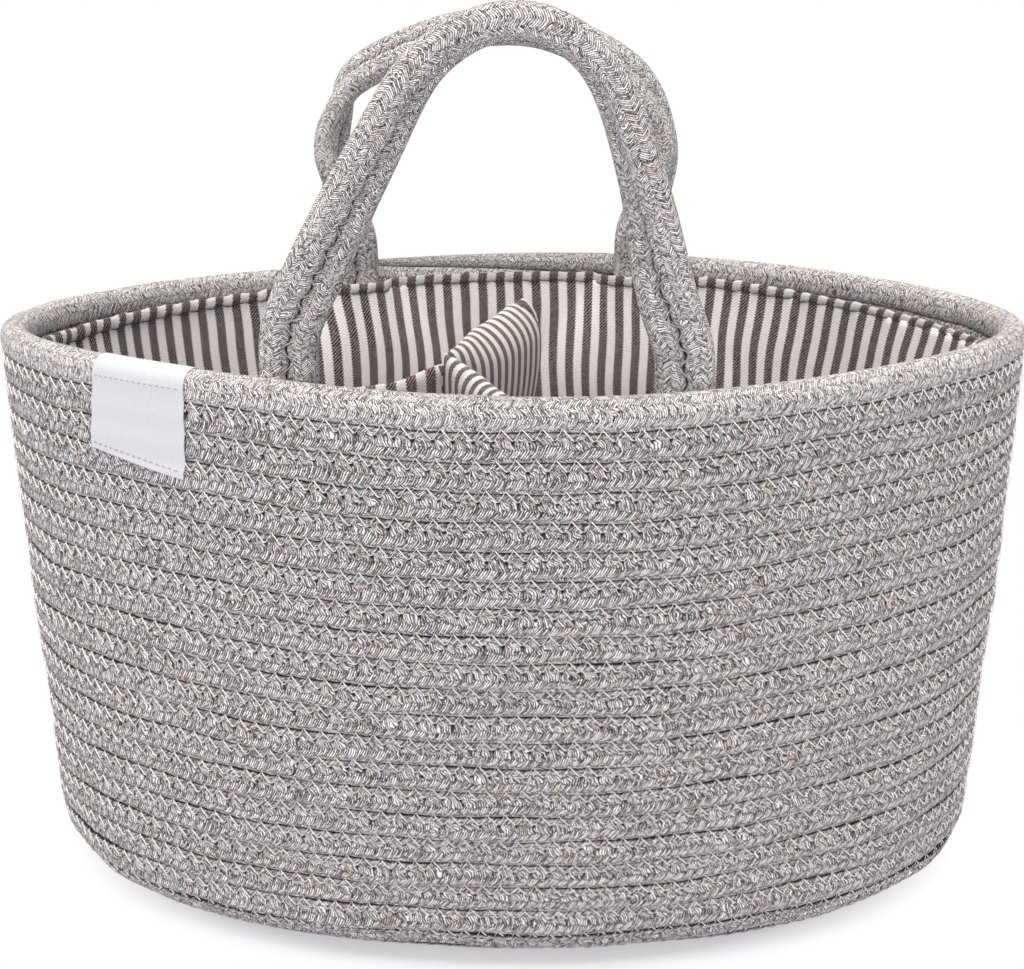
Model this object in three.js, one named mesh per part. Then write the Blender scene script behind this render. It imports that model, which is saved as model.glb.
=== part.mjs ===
// Diaper caddy: an oval basket wound from cotton rope, with two double rope handles,
// a cloth lining with a rolled hem, a fold-over label and a loose three-winged divider.
// Millimetres, +Z up, the front is -Y. The origin is under the middle of the basket.
import * as THREE from 'three';

// Basket, measured over the rope
const rimLength = 380;
const rimDepth = 266.6;
const rimHeight = 216;
const footLength = 370.6;
const footDepth = 221.3;
const cornerRadius = 24;
const wallBow = 1;
const rimTwist = 3.95;
const rimEndDip = 1.25;
// How much the plan outline is drawn in between its ends and its sides, at the foot and at the rim
const footDrawShare = -0.044;
const rimDrawShare = 0.118;
const rimDrawAcrossShare = 0.048;
const rimDrawAlongShare = -0.0475;

// Rope of the basket
const ropeDiameter = 10;
const turnGap = 0.47;
const floorTurnGap = 0.8;
const pieceGap = 0.3;
const coreLength = 136;
const tipThicknessShare = 0.45;
const floorCutShare = 0.1;
const loopSteps = 24;
const climbSteps = 5;
const tipSteps = 3;
const coilStartShare = 1 / 6;
const coreLeadShare = 0.28;

// Cloth lining
const liningThickness = 1.2;
const liningEase = 0.8;
const liningSlack = 2;
const liningFolds = 12;
const hemHeight = 6.4;
const hemThickness = 3.4;
const hemDrop = 7;
const legFade = 14;

// Handles: each is two ropes sewn side by side, tucked in behind the lining
const handleRope = 9.4;
const handleTuck = 46;
const flexHeight = 8;
const handleLean = 7;
const frontHandleSpan = 124;
const frontHandleRise = 97;
const frontHandleShift = -6.5;
const backHandleSpan = 122;
const backHandleRise = 89;
const backHandleShift = -9;
const strandSteps = 34;
const strandSides = 8;
const handles = [
  {
    name: 'front',
    side: -1,
    span: frontHandleSpan,
    shift: frontHandleShift,
    rise: frontHandleRise,
    pathShares: [
      [-0.5, 0], [-0.5, 0.06], [-0.45, 0.2], [-0.3, 0.6], [-0.12, 0.89],
      [0.084, 1], [0.27, 0.88], [0.385, 0.56], [0.452, 0.22], [0.5, 0.06], [0.5, 0],
    ],
    twistDegrees: [0, 0, 18, 48, 68, 75, 70, 60, 24, 0, 0],
  },
  {
    name: 'back',
    side: 1,
    span: backHandleSpan,
    shift: backHandleShift,
    rise: backHandleRise,
    pathShares: [
      [-0.5, 0], [-0.5, 0.07], [-0.535, 0.22], [-0.55, 0.44], [-0.46, 0.78], [-0.2, 0.95],
      [0.01, 1], [0.22, 0.965], [0.47, 0.77], [0.575, 0.46], [0.545, 0.22], [0.5, 0.07], [0.5, 0],
    ],
    twistDegrees: [0, 0, 55, 92, 45, 45, 50, 45, 42, 80, 50, 0, 0],
  },
];

// Label: a strip of tape folded over the rim
const labelStartShare = 221.2 / 360;
const labelEndShare = 234.8 / 360;
const labelDrop = 33;
const labelFlap = 6;
const labelThickness = 0.8;

// Divider: three padded cloth wings joined at one upright seam. Places in it are shares of the basket's
// half length and half depth, and each wing's bow is a share of its own length.
const seamPlaceShares = [-0.133, -0.024];
const seamRadius = 2.2;
const wingThickness = 3;
const wingTop = 202;
const wingCornerHeight = 70;
const wingCornerShare = 0.08;
const wingSlouchHeight = 34;
const leftWingDrop = 10;
const backWingCrown = 4;
const frontWingCrown = 1;
const leftWingSlouch = 2;
const backWingSlouch = -8;
const frontWingSlouch = -6;
const wings = [
  {
    name: 'divider_left_wing',
    endShares: [-0.65, -0.4],
    bowShare: 0.036,
    top: wingTop - leftWingDrop,
    crown: 0,
    slouch: leftWingSlouch,
  },
  {
    name: 'divider_back_wing',
    endShares: [0.05, 0.775],
    bowShare: -0.064,
    top: wingTop,
    crown: backWingCrown,
    slouch: backWingSlouch,
  },
  {
    name: 'divider_front_wing',
    endShares: [0.074, -0.742],
    bowShare: 0.048,
    top: wingTop,
    crown: frontWingCrown,
    slouch: frontWingSlouch,
  },
];
const wingSteps = 10;
const wingRows = 6;

// Colours
const ropeColour = 0xaaa8a5;
const handleColour = 0xb2b0ac;
const liningColour = 0xa39b99;
const hemColour = 0x948b89;
const labelColour = 0xe4e5ea;
const dividerColour = 0xb3abaa;

// Sizes that follow from the ones above
const ropeRadius = ropeDiameter / 2;
const floorCut = ropeDiameter * floorCutShare;
const bendRadius = cornerRadius - ropeRadius;
const bendTravel = bendRadius * Math.PI / 2;
const wallTravel = travelAt(rimHeight - ropeRadius);
const wallTurns = Math.round(wallTravel / ropeDiameter);
const turnPitch = wallTravel / wallTurns;
const floorTurns = Math.round((footDepth / 2 - cornerRadius) / ropeDiameter);
const handleRadius = handleRope / 2;
const strandSpacing = handleRope + pieceGap;
const flexZ = rimHeight + flexHeight;
const hemTop = rimHeight - hemDrop;
const hemBottom = hemTop - hemHeight;
const floorTop = ropeDiameter - floorCut;
const liningFloorTop = floorTop + pieceGap + liningThickness;

const part = new THREE.Group();

function addMesh(parent, name, geometry, color, roughness) {
  const material = new THREE.MeshStandardMaterial({ color, roughness, metalness: 0 });
  const mesh = new THREE.Mesh(geometry, material);
  mesh.name = name;
  parent.add(mesh);
  return mesh;
}

// Builds one closed solid from points and triangles, with its faces turned outwards
function solid(points, triangles) {
  let volume = 0;
  for (const [a, b, c] of triangles) {
    const cross = new THREE.Vector3().crossVectors(points[b], points[c]);
    volume += points[a].dot(cross);
  }
  const geometry = new THREE.BufferGeometry();
  geometry.setAttribute('position', new THREE.Float32BufferAttribute(points.flatMap((p) => [p.x, p.y, p.z]), 3));
  geometry.setIndex(triangles.flatMap(([a, b, c]) => (volume > 0 ? [a, b, c] : [a, c, b])));
  geometry.computeVertexNormals();
  return geometry;
}

// Joins a row of rings into a tube, closed on itself or with a flat end on its first and last ring
function tube(rings, closed = false) {
  const sides = rings[0].length;
  const triangles = [];
  const runs = closed ? rings.length : rings.length - 1;
  for (let i = 0; i < runs; i++) {
    const here = i * sides;
    const next = ((i + 1) % rings.length) * sides;
    for (let j = 0; j < sides; j++) {
      const k = (j + 1) % sides;
      triangles.push([here + j, next + j, next + k], [here + j, next + k, here + k]);
    }
  }
  if (!closed) {
    const last = (rings.length - 1) * sides;
    for (let j = 1; j < sides - 1; j++) {
      triangles.push([0, j, j + 1], [last, last + j + 1, last + j]);
    }
  }
  return solid(rings.flat(), triangles);
}

// Joins two faces of a sheet, each a grid of points, into one closed solid
function sheet(outer, inner, closed) {
  const across = outer[0].length;
  const triangles = [];
  const offset = outer.length * across;
  const quad = (a, b, c, d) => triangles.push([a, b, c], [a, c, d]);
  const runs = closed ? outer.length : outer.length - 1;
  for (let i = 0; i < runs; i++) {
    const here = i * across;
    const next = ((i + 1) % outer.length) * across;
    for (let j = 0; j < across - 1; j++) {
      quad(here + j, next + j, next + j + 1, here + j + 1);
      quad(offset + here + j, offset + here + j + 1, offset + next + j + 1, offset + next + j);
    }
    const top = across - 1;
    quad(here, offset + here, offset + next, next);
    quad(here + top, next + top, offset + next + top, offset + here + top);
  }
  if (!closed) {
    const last = (outer.length - 1) * across;
    for (let j = 0; j < across - 1; j++) {
      quad(j, j + 1, offset + j + 1, offset + j);
      quad(last + j, offset + last + j, offset + last + j + 1, last + j + 1);
    }
  }
  return solid([...outer.flat(), ...inner.flat()], triangles);
}

function eased(share) {
  const s = Math.min(Math.max(share, 0), 1);
  return s * s * (3 - 2 * s);
}

// The basket's shape

// How far along the rope's centre line, up from the flat floor, a height on the wall is
function travelAt(z) {
  return bendTravel + z + floorCut - cornerRadius;
}

// The plan outline at a level, and its outward direction there
function outline(t, halfLength, halfDepth, level) {
  const c = Math.cos(t);
  const s = Math.sin(t);
  const rimDraw = rimDrawShare + rimDrawAcrossShare * c + rimDrawAlongShare * s;
  const draw = footDrawShare + (rimDraw - footDrawShare) * level;
  const change = level * (rimDrawAlongShare * c - rimDrawAcrossShare * s);
  const x = halfLength * c * (1 - draw * s * s);
  const y = halfDepth * s * (1 - draw * c * c);
  const dx = halfLength * (-s * (1 - draw * s * s) - c * s * (change * s + 2 * draw * c));
  const dy = halfDepth * (c * (1 - draw * c * c) - s * c * (change * c - 2 * draw * s));
  return { x, y, normal: new THREE.Vector2(dy, -dx).normalize() };
}

// A point that lies inset inside the outer face, travel up the wall, at plan angle t
function wallPoint(t, travel, inset) {
  const bend = Math.min(Math.max(travel, 0) / bendRadius, Math.PI / 2);
  const rise = Math.max(travel - bendTravel, 0);
  const reach = cornerRadius - inset;
  const z = cornerRadius - floorCut - reach * Math.cos(bend) + rise;
  const level = Math.max(z, 0) / rimHeight;
  const inward = cornerRadius - reach * Math.sin(bend);
  const bow = 4 * wallBow * level * (1 - level);
  const halfLength = (footLength + (rimLength - footLength) * level) / 2 + bow;
  const halfDepth = (footDepth + (rimDepth - footDepth) * level) / 2 + bow;
  const { x, y, normal } = outline(t, halfLength, halfDepth, level);
  const along = x / halfLength;
  const lift = level * (rimTwist * along * y / halfDepth - rimEndDip * along * along);
  return new THREE.Vector3(x - normal.x * inward, y - normal.y * inward, z + lift);
}

// A point of the flat floor: share is 0 on the straight core and 1 where the floor turns up
function floorPoint(t, share) {
  const edge = wallPoint(t, 0, ropeRadius);
  const core = Math.min(Math.max(edge.x, -coreLength / 2), coreLength / 2);
  return new THREE.Vector3(core + (edge.x - core) * share, edge.y * share, edge.z);
}

function stationAngle(i) {
  return 2 * Math.PI * (coilStartShare + i / loopSteps);
}

// The wall is wound in straight steps, so what lies against it follows its flats
function flatPoint(t, travel, inset) {
  const place = (t / (2 * Math.PI) - coilStartShare) * loopSteps;
  const i = Math.floor(place);
  const from = wallPoint(stationAngle(i), travel, inset);
  return from.lerp(wallPoint(stationAngle(i + 1), travel, inset), place - i);
}

// The rope's coil, counted in turns: below zero on the floor, above it on the wall

// Low turns climb all the way round. High ones lie level and climb in one short stretch.
function climb(turn) {
  const whole = Math.floor(turn);
  const rest = turn - whole;
  const level = Math.min(turn / wallTurns, 1);
  const stepped = eased(rest * loopSteps / climbSteps);
  return whole + rest + (stepped - rest) * level;
}

function coilPoint(turn) {
  const t = 2 * Math.PI * (coilStartShare + turn);
  if (turn < 0) {
    return floorPoint(t, (floorTurns + coreLeadShare + turn) / (floorTurns + coreLeadShare));
  }
  return wallPoint(t, turnPitch * climb(turn), ropeRadius);
}

// The coil's directions at a turn: along the rope, up the wall, and out of the wall
function coilFrame(turn) {
  const step = 1 / loopSteps;
  const along = coilPoint(turn + step).sub(coilPoint(turn - step)).normalize();
  const t = 2 * Math.PI * (coilStartShare + turn);
  const wide = turn < 0
    ? floorPoint(t, 1).sub(floorPoint(t, 0))
    : wallPoint(t, turnPitch * climb(turn) + ropeRadius, ropeRadius).sub(coilPoint(turn));
  const up = wide.addScaledVector(along, -wide.dot(along)).normalize();
  return { along, up, out: new THREE.Vector3().crossVectors(along, up) };
}

function coilRing(centre, frame, halfWidth, halfThickness) {
  const corners = [[1, 0], [0.5, 1], [-0.5, 1], [-1, 0], [-0.5, -1], [0.5, -1]];
  return corners.map(([up, out]) => {
    const point = centre.clone().addScaledVector(frame.up, up * halfWidth);
    point.addScaledVector(frame.out, out * halfThickness);
    point.z = Math.max(point.z, 0);
    return point;
  });
}

// The rope fills the room between the turns beside it, less the gap
function halfWidthAt(turn, first, last) {
  const frame = coilFrame(turn);
  const here = coilPoint(turn);
  const room = [];
  if (turn - 1 >= first) {
    room.push(here.clone().sub(coilPoint(turn - 1)).dot(frame.up));
  }
  if (turn + 1 <= last) {
    room.push(coilPoint(turn + 1).sub(here).dot(frame.up));
  }
  return (Math.min(...room) - (turn < 0 ? floorTurnGap : turnGap)) / 2;
}

function coilRings(from, steps) {
  const rings = [];
  for (let i = 0; i <= steps; i++) {
    const turn = from + i / loopSteps;
    const frame = coilFrame(turn);
    const halfWidth = halfWidthAt(turn, -floorTurns, wallTurns);
    rings.push(coilRing(coilPoint(turn), frame, halfWidth, ropeRadius));
  }
  return rings;
}

// The rope's end lies on the turn that climbs up to the rim, and is cut to the wedge left above it
function coilTip() {
  const rings = [];
  for (let i = 1; i <= tipSteps; i++) {
    const turn = wallTurns + i / loopSteps;
    const under = turn - 1;
    const frame = coilFrame(under);
    const t = 2 * Math.PI * (coilStartShare + turn);
    const low = halfWidthAt(under, -floorTurns, wallTurns) + turnGap;
    const room = turnPitch * (wallTurns - climb(under)) + ropeRadius - turnGap / 2 - low;
    const centre = coilPoint(under).addScaledVector(frame.up, low + room / 2);
    const thickness = 1 - (1 - tipThicknessShare) * i / tipSteps;
    rings.push(coilRing(centre, frame, room / 2, ropeRadius * thickness));
  }
  return rings;
}

// Draws a tube's end ring back along its last step
function drawBack(ring, next, distance) {
  const run = ring[0].distanceTo(next[0]);
  return ring.map((point, i) => point.clone().lerp(next[i], distance / run));
}

// The least distance from a corner of the rope to an edge of another turn
function leastGap(rings) {
  const nearest = new THREE.Vector3();
  const edge = new THREE.Line3();
  let least = Infinity;
  rings.forEach((ring, i) => {
    for (let j = 0; j < rings.length - 1; j++) {
      if (Math.abs(i - j) <= loopSteps / 3 || ring[0].distanceTo(rings[j][0]) > loopSteps * ropeRadius) {
        continue;
      }
      for (const point of ring) {
        for (let k = 0; k < ring.length; k++) {
          edge.set(rings[j][k], rings[j + 1][k]);
          edge.closestPointToPoint(point, true, nearest);
          least = Math.min(least, nearest.distanceTo(point));
        }
      }
    }
  });
  return least;
}

function makeCoils() {
  const floorRings = coilRings(-floorTurns, floorTurns * loopSteps);
  const wallRings = [...coilRings(0, wallTurns * loopSteps), ...coilTip()];
  const last = floorRings.length - 1;
  floorRings[last] = drawBack(floorRings[last], floorRings[last - 1], pieceGap / 2);
  wallRings[0] = drawBack(wallRings[0], wallRings[1], pieceGap / 2);
  console.log(`base_coil: ${floorTurns} turns, least gap ${leastGap(floorRings).toFixed(3)} mm`);
  console.log(`wall_coil: ${wallTurns} turns, least gap ${leastGap(wallRings).toFixed(3)} mm`);
  addMesh(part, 'base_coil', tube(floorRings), ropeColour, 0.95);
  addMesh(part, 'wall_coil', tube(wallRings), ropeColour, 0.95);
}

// The handles

// The y of the wall's flats at a given x, on the front (side -1) or the back (side 1)
function wallY(x, z, side, inset) {
  for (let i = 0; i < loopSteps; i++) {
    const from = wallPoint(stationAngle(i), travelAt(z), inset);
    const to = wallPoint(stationAngle(i + 1), travelAt(z), inset);
    if (from.y * side > 0 && to.y * side > 0 && (from.x - x) * (to.x - x) <= 0) {
      return from.y + (to.y - from.y) * (x - from.x) / (to.x - from.x);
    }
  }
  return 0;
}

function legPlaces(handle) {
  const half = handle.span / 2;
  return [
    { name: 'left', outwards: -1, x: handle.shift - half },
    { name: 'right', outwards: 1, x: handle.shift + half },
  ];
}

function strandX(leg, strand) {
  return leg.x + leg.outwards * strand * strandSpacing / 2;
}

const tuckInset = ropeDiameter + pieceGap + handleRadius;

// All four ropes of a handle flex on one level line, drawn through its two outer ropes
function flexLine(handle) {
  const [left, right] = legPlaces(handle).map((leg) => {
    const x = strandX(leg, 1);
    return new THREE.Vector2(x, wallY(x, hemTop, handle.side, tuckInset));
  });
  const slope = (right.y - left.y) / (right.x - left.x);
  return { slope, yAt: (x) => left.y + slope * (x - left.x) };
}

function roundRing(centre, across, beside, radius) {
  const ring = [];
  for (let i = 0; i < strandSides; i++) {
    const angle = 2 * Math.PI * (i + 0.5) / strandSides;
    const point = centre.clone().addScaledVector(across, Math.cos(angle) * radius);
    ring.push(point.addScaledVector(beside, Math.sin(angle) * radius));
  }
  return ring;
}

// The sewn end of one rope, flat against the wall and then up to where the handle flexes
function makeTail(handle, leg, strand, name) {
  const x = strandX(leg, strand);
  const heights = [rimHeight - handleTuck, rimHeight - handleTuck / 2, hemTop + pieceGap];
  const points = heights.map((z) => new THREE.Vector3(x, wallY(x, z, handle.side, tuckInset), z));
  points.push(new THREE.Vector3(x, flexLine(handle).yAt(x), flexZ - handleRadius - pieceGap));
  const across = new THREE.Vector3(1, 0, 0);
  const rings = points.map((point, i) => {
    const from = points[Math.max(i - 1, 0)];
    const to = points[Math.min(i + 1, points.length - 1)];
    const along = i === points.length - 1 ? new THREE.Vector3(0, 0, 1) : to.clone().sub(from).normalize();
    return roundRing(point, across, new THREE.Vector3().crossVectors(along, across), handleRadius);
  });
  addMesh(part, name, tube(rings), handleColour, 0.95);
}

// The handle's middle line, its outward direction in its own plane, and its twist at a share of its length
function handleAt(handle, share) {
  const places = handle.pathShares.map(([x, z]) => new THREE.Vector3(x * handle.span, 0, z * handle.rise));
  const path = new THREE.CatmullRomCurve3(places, false, 'centripetal');
  const twist = new THREE.CatmullRomCurve3(
    handle.twistDegrees.map((degrees) => new THREE.Vector3(degrees, 0, 0)),
    false,
    'catmullrom',
  );
  const point = path.getPoint(share);
  const along = path.getTangent(share);
  const angle = THREE.MathUtils.degToRad(twist.getPoint(share).x);
  return { point, along, outwards: new THREE.Vector3(-along.z, 0, along.x), angle };
}

function makeStrand(handle, strand, name, group) {
  const facing = new THREE.Vector3(0, handle.side, 0);
  const rings = [];
  const ends = [[0.97, 0.25], [0.71, 0.71], [0.26, 0.97]];
  for (let i = 0; i <= strandSteps; i++) {
    const { point, along, outwards, angle } = handleAt(handle, i / strandSteps);
    const beside = outwards.multiplyScalar(Math.cos(angle)).addScaledVector(facing, Math.sin(angle));
    const across = new THREE.Vector3().crossVectors(along, beside);
    const centre = point.addScaledVector(beside, strand * strandSpacing / 2);
    if (i === 0) {
      ends.forEach(([back, radius]) => {
        const place = centre.clone().addScaledVector(along, -back * handleRadius);
        rings.push(roundRing(place, beside, across, radius * handleRadius));
      });
    }
    rings.push(roundRing(centre, beside, across, handleRadius));
    if (i === strandSteps) {
      [...ends].reverse().forEach(([back, radius]) => {
        const place = centre.clone().addScaledVector(along, back * handleRadius);
        rings.push(roundRing(place, beside, across, radius * handleRadius));
      });
    }
  }
  addMesh(group, name, tube(rings), handleColour, 0.95);
}

function makeHandle(handle) {
  const group = new THREE.Group();
  const flex = flexLine(handle);
  const lean = -handle.side * THREE.MathUtils.degToRad(handleLean);
  group.position.set(handle.shift, flex.yAt(handle.shift), flexZ);
  group.rotation.set(lean, 0, Math.atan(flex.slope), 'ZXY');
  part.add(group);
  const strands = [['outer', 1], ['inner', -1]];
  for (const [word, strand] of strands) {
    makeStrand(handle, strand, `${handle.name}_handle_${word}_rope`, group);
    for (const leg of legPlaces(handle)) {
      makeTail(handle, leg, strand, `${handle.name}_${leg.name}_${word}_tail`);
    }
  }
}

// The lining

// How far the cloth stands off the wall to pass over the sewn ends of the handles
function legBulge(place, z) {
  const wide = strandSpacing + pieceGap;
  let most = 0;
  for (const handle of handles) {
    if (place.y * handle.side > 0) {
      for (const leg of legPlaces(handle)) {
        const beyond = Math.abs(place.x - leg.x) - wide;
        most = Math.max(most, 1 - eased((beyond - legFade / 2) / legFade));
      }
    }
  }
  const low = rimHeight - handleTuck - legFade;
  return most * eased((z - low) / legFade) * (handleRope + 2 * pieceGap);
}

function liningInset(t, travel) {
  const wall = flatPoint(t, travel, ropeDiameter);
  const fold = (1 - Math.cos(liningFolds * t)) / 2;
  const slack = liningSlack * fold * eased((wall.z - floorTop) / cornerRadius) * eased((hemTop - wall.z) / legFade);
  return ropeDiameter + liningEase + slack + legBulge(wall, wall.z);
}

const liningPerStep = 3;

function liningAngles() {
  const count = loopSteps * liningPerStep;
  return Array.from({ length: count }, (_, i) => stationAngle(i / liningPerStep));
}

function makeLining() {
  const rowShares = [0.12, 0.5, 0.95];
  const travels = rowShares.map((share) => share * bendTravel);
  const lowBulge = travelAt(rimHeight - handleTuck - legFade);
  travels.push(lowBulge / 2, lowBulge, travelAt(rimHeight - handleTuck), travelAt(hemBottom - pieceGap));
  const face = (extra) => liningAngles().map((t) => travels.map((travel) => {
    const point = flatPoint(t, travel, liningInset(t, travel) + extra);
    point.z = Math.max(point.z, floorTop + pieceGap + (extra > 0 ? extra : 0));
    return point;
  }));
  addMesh(part, 'lining_wall', sheet(face(0), face(liningThickness), true), liningColour, 0.9);

  const edge = liningAngles().map((t) => {
    const place = flatPoint(t, travels[0], liningInset(t, travels[0]) + liningThickness);
    const length = Math.hypot(place.x, place.y);
    const share = (length - liningThickness) / length;
    return new THREE.Vector2(place.x * share, place.y * share);
  });
  const floor = new THREE.ExtrudeGeometry(new THREE.Shape(edge), { depth: liningThickness, bevelEnabled: false });
  floor.translate(0, 0, floorTop + pieceGap);
  addMesh(part, 'lining_floor', floor, liningColour, 0.9);

  const hemRings = liningAngles().map((t) => {
    const inset = ropeDiameter + pieceGap + legBulge(flatPoint(t, travelAt(hemTop), ropeDiameter), hemTop);
    const middle = (hemTop + hemBottom) / 2;
    const corners = [[0, 0.5], [0.5, 1], [1, 0.5], [1, -0.5], [0.5, -1], [0, -0.5]];
    return corners.map(([inwards, up]) => flatPoint(
      t,
      travelAt(middle + up * hemHeight / 2),
      inset + inwards * hemThickness,
    ));
  });
  addMesh(part, 'lining_hem', tube(hemRings, true), hemColour, 0.9);
}

// The label

function makeLabel() {
  const from = 2 * Math.PI * labelStartShare;
  const to = 2 * Math.PI * labelEndShare;
  const angles = [from];
  for (let i = 0; i < loopSteps; i++) {
    if (stationAngle(i) > from && stationAngle(i) < to) {
      angles.push(stationAngle(i));
    }
  }
  angles.push(to);
  const shoulder = rimHeight - ropeRadius / 2;
  const face = (out) => angles.map((t) => [
    flatPoint(t, travelAt(rimHeight - labelDrop), -out),
    flatPoint(t, travelAt(shoulder), -out),
    flatPoint(t, travelAt(rimHeight + out), ropeRadius),
    flatPoint(t, travelAt(shoulder), ropeDiameter + out),
    flatPoint(t, travelAt(rimHeight - labelFlap), ropeDiameter + out),
  ]);
  addMesh(part, 'label_tag', sheet(face(pieceGap + labelThickness), face(pieceGap), false), labelColour, 0.6);
}

// The divider

function placeAt(shares, level) {
  const halfLength = (footLength + (rimLength - footLength) * level) / 2;
  const halfDepth = (footDepth + (rimDepth - footDepth) * level) / 2;
  return new THREE.Vector2(shares[0] * halfLength, shares[1] * halfDepth);
}

// A wing's middle line in plan, from beside the seam to its free end, at height z
function wingPlan(wing, z) {
  const seam = placeAt(seamPlaceShares, 0.5);
  const end = placeAt(wing.endShares, z / rimHeight);
  const run = end.clone().sub(seam);
  const start = seam.clone().addScaledVector(run, (seamRadius + pieceGap) / run.length());
  const side = new THREE.Vector2(-run.y, run.x);
  return new THREE.QuadraticBezierCurve(start, start.clone().lerp(end, 0.5).addScaledVector(side, wing.bowShare), end);
}

function makeWing(wing) {
  const bottom = liningFloorTop + pieceGap;
  const face = (half) => Array.from({ length: wingSteps + 1 }, (_, i) => {
    const along = i / wingSteps;
    const top = wing.top + wing.crown * Math.sin(Math.PI * along);
    return Array.from({ length: wingRows + 1 }, (_unused, j) => {
      const z = bottom + (top - bottom) * (1 - (1 - j / wingRows) ** 2);
      const low = Math.max(1 - (z - bottom) / wingCornerHeight, 0);
      const reach = along * (1 - wingCornerShare * low * low);
      const plan = wingPlan(wing, z);
      const point = plan.getPoint(reach);
      const heading = plan.getTangent(reach);
      const slouch = wing.slouch * along * eased((z - top + wingSlouchHeight) / wingSlouchHeight);
      return new THREE.Vector3(point.x - heading.y * half + slouch, point.y + heading.x * half, z);
    });
  });
  addMesh(part, wing.name, sheet(face(-wingThickness / 2), face(wingThickness / 2), false), dividerColour, 0.9);
}

function makeDivider() {
  wings.forEach(makeWing);
  const bottom = liningFloorTop + pieceGap;
  const place = placeAt(seamPlaceShares, 0.5);
  const seam = new THREE.CylinderGeometry(seamRadius, seamRadius, wingTop - bottom, strandSides);
  seam.rotateX(Math.PI / 2);
  seam.translate(place.x, place.y, (wingTop + bottom) / 2);
  addMesh(part, 'divider_seam', seam, hemColour, 0.9);
}

makeCoils();
handles.forEach(makeHandle);
makeLining();
makeLabel();
makeDivider();

export default part;
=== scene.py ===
# %% [markdown]
# # A rope caddy with a striped lining
#
# This lesson dresses a basket that is wound from cotton rope. The wall is one rope, coiled and sewn turn to
# turn. Inside it hangs a lining of striped twill with a puckered hem, two double ropes make the handles,
# and a cloth divider with three wings stands on the floor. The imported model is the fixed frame: it says
# where every piece is, and this script makes the pieces that are seen in their place.

import functools
import math

import bmesh
import bpy
import numpy as np
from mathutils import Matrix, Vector


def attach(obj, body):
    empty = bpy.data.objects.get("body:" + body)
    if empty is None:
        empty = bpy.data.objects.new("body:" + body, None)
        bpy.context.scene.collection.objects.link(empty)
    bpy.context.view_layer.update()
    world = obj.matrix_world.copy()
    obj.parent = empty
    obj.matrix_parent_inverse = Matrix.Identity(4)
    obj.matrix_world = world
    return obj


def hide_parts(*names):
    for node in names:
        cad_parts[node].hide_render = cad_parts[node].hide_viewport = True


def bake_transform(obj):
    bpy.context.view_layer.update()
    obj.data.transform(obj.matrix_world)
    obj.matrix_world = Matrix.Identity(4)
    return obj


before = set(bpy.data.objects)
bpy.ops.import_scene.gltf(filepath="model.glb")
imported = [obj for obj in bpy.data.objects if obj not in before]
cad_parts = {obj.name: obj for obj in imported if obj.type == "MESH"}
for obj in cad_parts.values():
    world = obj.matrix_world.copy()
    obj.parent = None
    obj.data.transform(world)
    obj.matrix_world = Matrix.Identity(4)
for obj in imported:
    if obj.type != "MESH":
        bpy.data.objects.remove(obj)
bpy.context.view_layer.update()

# %% [markdown]
# Every size below is a real one. The script works in metres, as Blender does, and writes sizes as
# millimetres times a factor. The basket narrows towards its foot. Its plan is an oval that is drawn in a
# little between its ends and its sides, by the draw shares, and its rim twists and dips by a few
# millimetres, as soft baskets do.

# %% Sizes of the basket
MM = 0.001
RIM_LENGTH = 380 * MM
RIM_DEPTH = 266.6 * MM
RIM_HEIGHT = 216 * MM
FOOT_LENGTH = 370.6 * MM
FOOT_DEPTH = 221.3 * MM
CORNER = 24 * MM
WALL_BOW = 1 * MM
RIM_TWIST = 3.95 * MM
RIM_END_DIP = 1.25 * MM
FOOT_DRAW_SHARE = -0.044
RIM_DRAW_SHARE = 0.118
RIM_DRAW_ACROSS_SHARE = 0.048
RIM_DRAW_ALONG_SHARE = -0.0475
ROPE = 10 * MM
FLOOR_CUT = 0.1 * ROPE
BEND_RADIUS = CORNER - ROPE / 2
BEND_TRAVEL = BEND_RADIUS * math.pi / 2
TOP_TRAVEL = BEND_TRAVEL + RIM_HEIGHT - ROPE / 2 + FLOOR_CUT - CORNER
HEM_TOP = RIM_HEIGHT - 7 * MM
print(f"The rope's middle line climbs {TOP_TRAVEL / MM:.1f} mm up the wall.")

# %% Sizes of the coil
PITCH = 9.78 * MM
CORE_LENGTH = 136 * MM
CORE_LEAD_SHARE = 0.028
WALL_TURNS = TOP_TRAVEL / PITCH
ALL_TURNS = 31
END_SHARE = 1 / 6
CLIMB_SHARE = 5 / 24
FLOOR_TURNS = ALL_TURNS - WALL_TURNS
FLOOR_TRAVEL = FLOOR_TURNS * PITCH / (1 - CORE_LEAD_SHARE)
print(f"The rope goes {WALL_TURNS:.1f} times round the wall and {FLOOR_TURNS:.1f} times round the floor.")


# %% [markdown]
# One function gives every point of the basket. It takes the angle in plan, how far up the wall the point
# is, and how deep it lies under the outer face. The rope, the lining and the label all use it, so they
# can't drift apart.

# %% The basket's shape
def outline(t, half_length, half_depth, level):
    """The plan outline at a level, and its outward direction."""
    c, s = np.cos(t), np.sin(t)
    rim_draw = RIM_DRAW_SHARE + RIM_DRAW_ACROSS_SHARE * c + RIM_DRAW_ALONG_SHARE * s
    draw = FOOT_DRAW_SHARE + (rim_draw - FOOT_DRAW_SHARE) * level
    change = level * (RIM_DRAW_ALONG_SHARE * c - RIM_DRAW_ACROSS_SHARE * s)
    x = half_length * c * (1 - draw * s * s)
    y = half_depth * s * (1 - draw * c * c)
    dx = half_length * (-s * (1 - draw * s * s) - c * s * (change * s + 2 * draw * c))
    dy = half_depth * (c * (1 - draw * c * c) - s * c * (change * c - 2 * draw * s))
    size = np.hypot(dx, dy)
    return x, y, dy / size, -dx / size


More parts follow.
